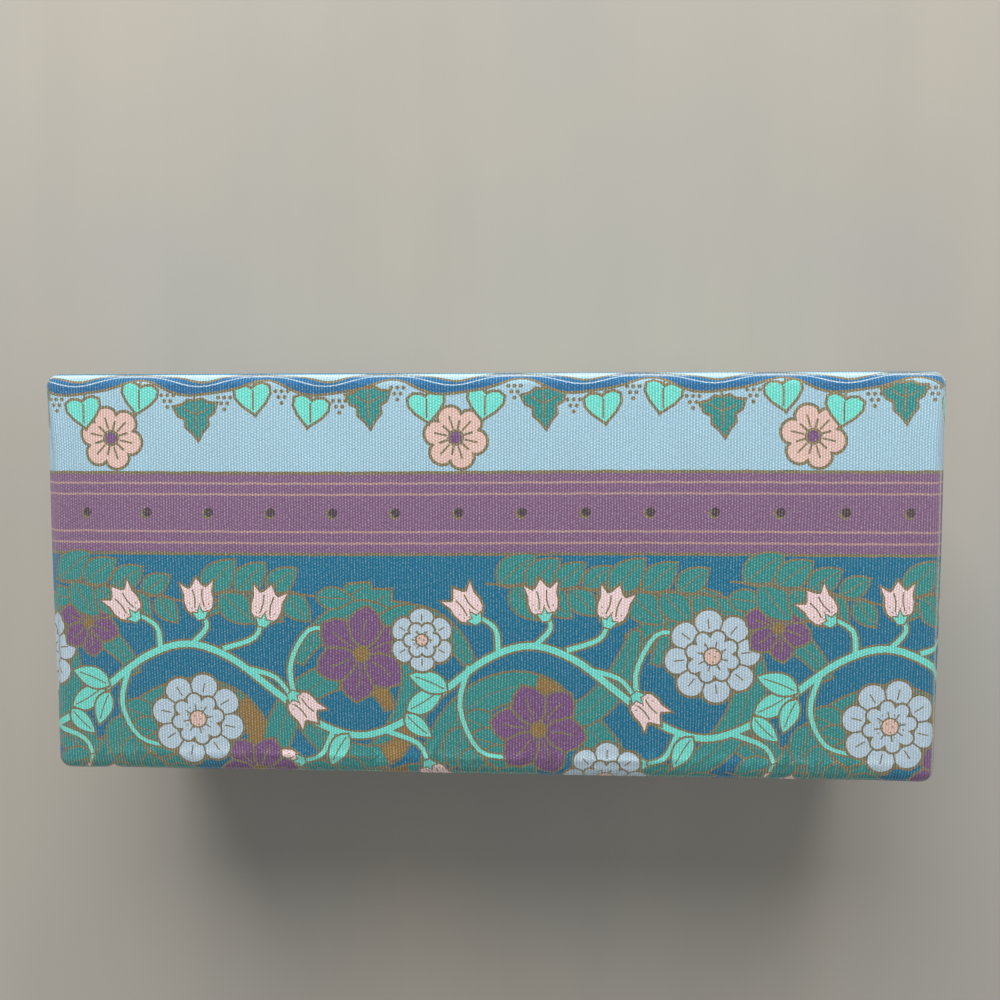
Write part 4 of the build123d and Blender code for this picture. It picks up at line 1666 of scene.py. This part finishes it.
def inflate(piece, cap):
    # blown up as cloth, no point further than about the cap
    rest = [vertex.co.copy() for vertex in piece.data.vertices]
    cloth = piece.modifiers.new("cloth", "CLOTH")
    for key, value in padLook["cloth"].items():
        setattr(cloth.settings, key, value)
    cloth.settings.effector_weights.gravity = 0
    cloth.collision_settings.use_collision = False
    cloth.point_cache.frame_start = 1
    cloth.point_cache.frame_end = padLook["frames"]
    for step in range(1, padLook["frames"] + 1):
        bpy.context.scene.frame_set(step)
    seen = piece.evaluated_get(bpy.context.evaluated_depsgraph_get())
    moved = [vertex.co.copy() for vertex in seen.data.vertices]
    piece.modifiers.remove(cloth)
    bpy.context.scene.frame_set(1)
    for vertex, before, after in zip(piece.data.vertices, rest, moved):
        shift = after - before
        if shift.length > cap * mm:
            over = math.tanh(shift.length / (cap * mm) - 1)
            shift = shift.normalized() * cap * mm * (1 + 0.25 * over)
        vertex.co = before + shift


def makePad(name, node, body, hangs, cap):
    low, high = boxOf(node)
    middle, outward = (low.z + high.z) / 2, -1 if hangs else 1
    shrink = padLook["shrink"] * mm
    inset = Vector((shrink, shrink, 0.1 * mm if hangs else 0.6 * mm))
    piece = blockBetween(name, low + Vector((shrink, shrink, 0.1 * mm)), high - inset)
    if hangs:
        for vertex in piece.data.vertices:
            if vertex.co.z < middle:
                vertex.co.z = low.z + 0.6 * mm
    makeActive(piece)
    piece.data.remesh_voxel_size = padLook["voxel"] * mm
    bpy.ops.object.voxel_remesh()
    for vertex in piece.data.vertices:
        # the stuffing is uneven
        lift = padLook["uneven"] * mm * noise.noise(vertex.co * padLook["unevenPitch"] + Vector((2, 0, 5)))
        if (vertex.co.z - middle) * outward > 0:
            vertex.co.z += outward * lift
    inflate(piece, cap)
    smooth = piece.modifiers.new("round", "SUBSURF")
    smooth.levels = smooth.render_levels = 1
    applyModifiers(piece)
    for vertex in piece.data.vertices:
        if (vertex.co.z - middle) * outward > 0:
            vertex.co.z += outward * pucker(vertex.co, low, high) * mm
        # it lies flat on what carries it
        vertex.co.z = min(vertex.co.z, high.z) if hangs else max(vertex.co.z, low.z)
        for axis in (0, 1):
            vertex.co[axis] = max(low[axis], min(high[axis], vertex.co[axis]))
    bpy.ops.object.shade_smooth()
    standIn(piece, "satin", node, body)


makePad("floorPad", "base_floor_pad", "base", False, 0.6)
makePad("lidPad", "lid_lining_pad", "lid", True, 0.75)
say("pads")

waddingMeasure = {
    "inset": 0.5,
    "step": 3.0,
    "gap": 0.12,
    "halfLength": 68.2,
    "halfDepth": 30.7,
    "edgeDrop": 1.3,
    "edgeWidth": 2.6,
    "fluff": 0.10,
}


def makeWadding():
    look = waddingMeasure
    low, high = boxOf("lid_wadding")
    inset = Vector((look["inset"] * mm, look["inset"] * mm, 0))
    piece = blockBetween("waddingSheet", low + inset, high - inset)
    splitLong(piece, look["step"] * mm)
    for vertex in piece.data.vertices:
        x, y = vertex.co.x / mm, vertex.co.y / mm
        if vertex.co.z > (low.z + high.z) / 2:
            roof = lidPlace(x, y).z - box["clothThickness"] - look["gap"]
            edge = min(look["halfLength"] - abs(x), look["halfDepth"] - abs(y))
            roof -= look["edgeDrop"] * (1 - smoothStep(edge, 0.0, look["edgeWidth"]))
            vertex.co.z = min(vertex.co.z, (roof - look["fluff"] * abs(noise.noise(vertex.co * 300))) * mm)
    bpy.ops.object.shade_smooth()
    standIn(piece, "wadding", "lid_wadding", "lid")


makeWadding()
say("wadding")

claspMeasure = {
    "softEdge": 0.08,
    "ribbonHalf": 1.55,
    "ribbonThickness": 0.3,
    "ribbonBendFrom": (0, -0.032, 0.0431),
    "ribbonBendTo": (0, -0.032, 0.0397),
    "loopHalf": 3.7,
    "loopGap": 0.24,
    "loopThickness": 0.45,
    "stitch": (0.14, 0.10, 0.30),
    "stitches": 16,
    "stitchPitch": 0.74,
    "stitchColumns": (0.65, 2.3),
}


def finishStrip(piece, path, side, thickness):
    # given its thickness, soft edges and a map
    thicken(piece, thickness)
    bevel = piece.modifiers.new("soft edges", "BEVEL")
    bevel.width = claspMeasure["softEdge"] * mm
    bevel.segments = 2
    bevel.limit_method = "ANGLE"
    bevel.angle_limit = math.radians(50)
    applyModifiers(piece)
    stripMap(piece, path, side)
    makeActive(piece)
    bpy.ops.object.shade_smooth_by_angle(angle=math.radians(55))


def makeClaspRibbon():
    low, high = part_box("clasp_ribbon")
    front, foot, top = low[1] / mm + 0.2, low[2] / mm + 0.18, high[2] / mm
    back = -halfDepth - 0.42
    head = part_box("clasp_peg")[1][2] / mm + 0.42
    ring = [(back - 0.12, top), (back - 0.05, top - 2.2), (back - 0.16, head + 1.4)]
    ring += [(back - 0.5, head + 0.34)]
    ring += arcPath((front + 0.9, head - 0.62), 0.9, 80, 180, 5)
    ring += arcPath((front + 0.9, foot + 0.9), 0.9, 180, 270, 5)
    ring += arcPath((back - 0.75, foot + 0.75), 0.75, 270, 360, 5)
    ring += [(back + 0.02, head - 0.6), (back + 0.10, head + 0.8), (back + 0.24, top - 2.6)]
    ring += [(back + 0.24, top - 0.3)]
    path = [(0, y * mm, z * mm) for y, z in ring]
    side = (claspMeasure["ribbonHalf"] * mm, 0, 0)
    piece = pullStrip("claspRibbon", path, side)
    editMesh(piece, lambda mesh: cutAcross(mesh, edgesAlong(mesh, 0), 6))
    for vertex in piece.data.vertices:
        # selvedges wave a little and the band cups
        x = vertex.co.x / mm
        vertex.co.x *= 1 + 0.03 * math.sin(vertex.co.z / mm * 2.1 + vertex.co.y / mm)
        vertex.co.y += 0.03 * mm * (x / claspMeasure["ribbonHalf"]) ** 2
    finishStrip(piece, path, side, claspMeasure["ribbonThickness"])
    standIn(piece, "ribbon", "clasp_ribbon")
    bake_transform(piece)


def makeClaspLoop():
    low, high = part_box("clasp_loop")
    half, wall = claspMeasure["loopHalf"], -halfDepth - claspMeasure["loopGap"]
    front = low[1] / mm + 0.25
    foot = [(half + 0.25, wall - 0.9), (half + 0.45, wall - 0.25), (half + 1.1, wall)]
    ring = [(low[0] / mm + 0.1, wall)] + mirrored(foot)
    ring += arcPath((-half + 0.75, front + 1.0), 1.0, 180, 270, 5)
    ring += [(0, front - 0.03)]
    ring += arcPath((half - 0.75, front + 1.0), 1.0, 270, 360, 5)
    ring += foot + [(high[0] / mm - 0.1, wall)]
    middle = (low[2] + high[2]) / 2
    path = [(x * mm, y * mm, middle) for x, y in ring]
    side = (0, 0, (high[2] - low[2]) / 2 - 0.05 * mm)
    piece = pullStrip("claspLoop", path, side)
    editMesh(piece, lambda mesh: cutAcross(mesh, edgesAlong(mesh, 2), 5))
    for vertex in piece.data.vertices:
        bow = ((vertex.co.z - middle) / (1.6 * mm)) ** 2
        if vertex.co.y < -0.0325:
            vertex.co.y += 0.10 * mm * bow
        vertex.co.z += 0.05 * mm * math.sin(vertex.co.x / mm * 1.3)
    finishStrip(piece, path, side, claspMeasure["loopThickness"])
    standIn(piece, "ribbon", "clasp_loop", "base")


def makeLoopStitches():
    # short stitches in a row near the end of each tab
    low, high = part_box("clasp_loop")
    wall = -halfDepth - claspMeasure["loopGap"] - claspMeasure["loopThickness"] / 2
    bpy.ops.mesh.primitive_uv_sphere_add(segments=10, ring_count=6, radius=1.0)
    model = bpy.context.object
    model.scale = [size * mm for size in claspMeasure["stitch"]]
    model.location = (0, (wall - 0.02) * mm, 0)
    settle(model)
    stitches = [model]
    while len(stitches) < claspMeasure["stitches"]:
        stitch = model.copy()
        stitch.data = model.data.copy()
        bpy.context.scene.collection.objects.link(stitch)
        stitches.append(stitch)
    columns = claspMeasure["stitchColumns"]
    spots = [(sign, inset, row) for sign in (-1, 1) for inset in columns for row in range(4)]
    for stitch, (sign, inset, row) in zip(stitches, spots):
        height = (low[2] + high[2]) / 2 + (row - 1.5) * claspMeasure["stitchPitch"] * mm
        stitch.location = (sign * (high[0] / mm - inset) * mm, 0, height)
        stitch.select_set(True)
    bpy.ops.object.join()
    model.name = "loopStitches"
    settle(model)
    bpy.ops.object.shade_smooth()
    standIn(model, "thread", None, "base")


makeClaspRibbon()
makeClaspLoop()
makeLoopStitches()
say("clasp")

floorLook = {
    "ground": linearColour(177, 171, 160),
    "layers": (
        ((70.0, 6.0, 1.0), 3.0, 0.5, 0.3, 0.75, 0.6, linearColour(169, 164, 154)),
        (14.0, 2.0, 0.5, 0.35, 0.7, 0.6, linearColour(163, 163, 159)),
    ),
    "shader": {"Roughness": 0.9, "Specular IOR Level": 0.15},
    "size": 3.0,
}


def makeFloor():
    bpy.ops.mesh.primitive_plane_add(size=floorLook["size"], location=(0, 0, 0))
    floor = bpy.context.object
    floor.name = "floor"
    floor.data.materials.append(layeredMaterial("paleFloor", floorLook))


lightSetup = {
    "lamps": {  # place, size, power
        "keyLight": ((-0.04, 0.60, 0.42), 0.62, 8.1),
        "edgeLight": ((0.62, 0.10, 0.16), 0.30, 0.8),
        "frontLight": ((-0.25, -0.85, 0.13), 0.50, 2.6),
    },
    "fill": 0.235,
    "backdrop": (0.80, 0.79, 0.76),
}


def makeLight():
    for name, (place, size, power) in lightSetup["lamps"].items():
        bpy.ops.object.light_add(type="AREA", location=place)
        light = bpy.context.object
        light.name = name
        light.data.shape = "DISK"
        light.data.size = size
        light.data.energy = power
        light.rotation_euler = (-Vector(place)).to_track_quat("-Z", "Y").to_euler()
    world = bpy.data.worlds.new("softSky")
    world.use_nodes = True
    tree = world.node_tree
    sky = tree.nodes["Background"]
    feedAll(tree, sky, {0: (1.0, 1.0, 1.0), 1: lightSetup["fill"]})
    shown = addNode(tree, "ShaderNodeBackground")
    feedAll(tree, shown, {0: lightSetup["backdrop"]})
    rays = addNode(tree, "ShaderNodeLightPath").outputs
    direct = calc(tree, "MAXIMUM", rays["Is Camera Ray"], rays["Is Glossy Ray"])
    direct = calc(tree, "MAXIMUM", direct, rays["Is Transmission Ray"])
    seen = addNode(tree, "ShaderNodeMixShader")
    feedAll(tree, seen, {0: direct, 1: sky.outputs[0], 2: shown.outputs[0]})
    tree.links.new(seen.outputs[0], tree.nodes["World Output"].inputs[0])
    bpy.context.scene.world = world


makeFloor()
makeLight()
bpy.context.scene.view_settings.view_transform = "Standard"
say("floor and light")
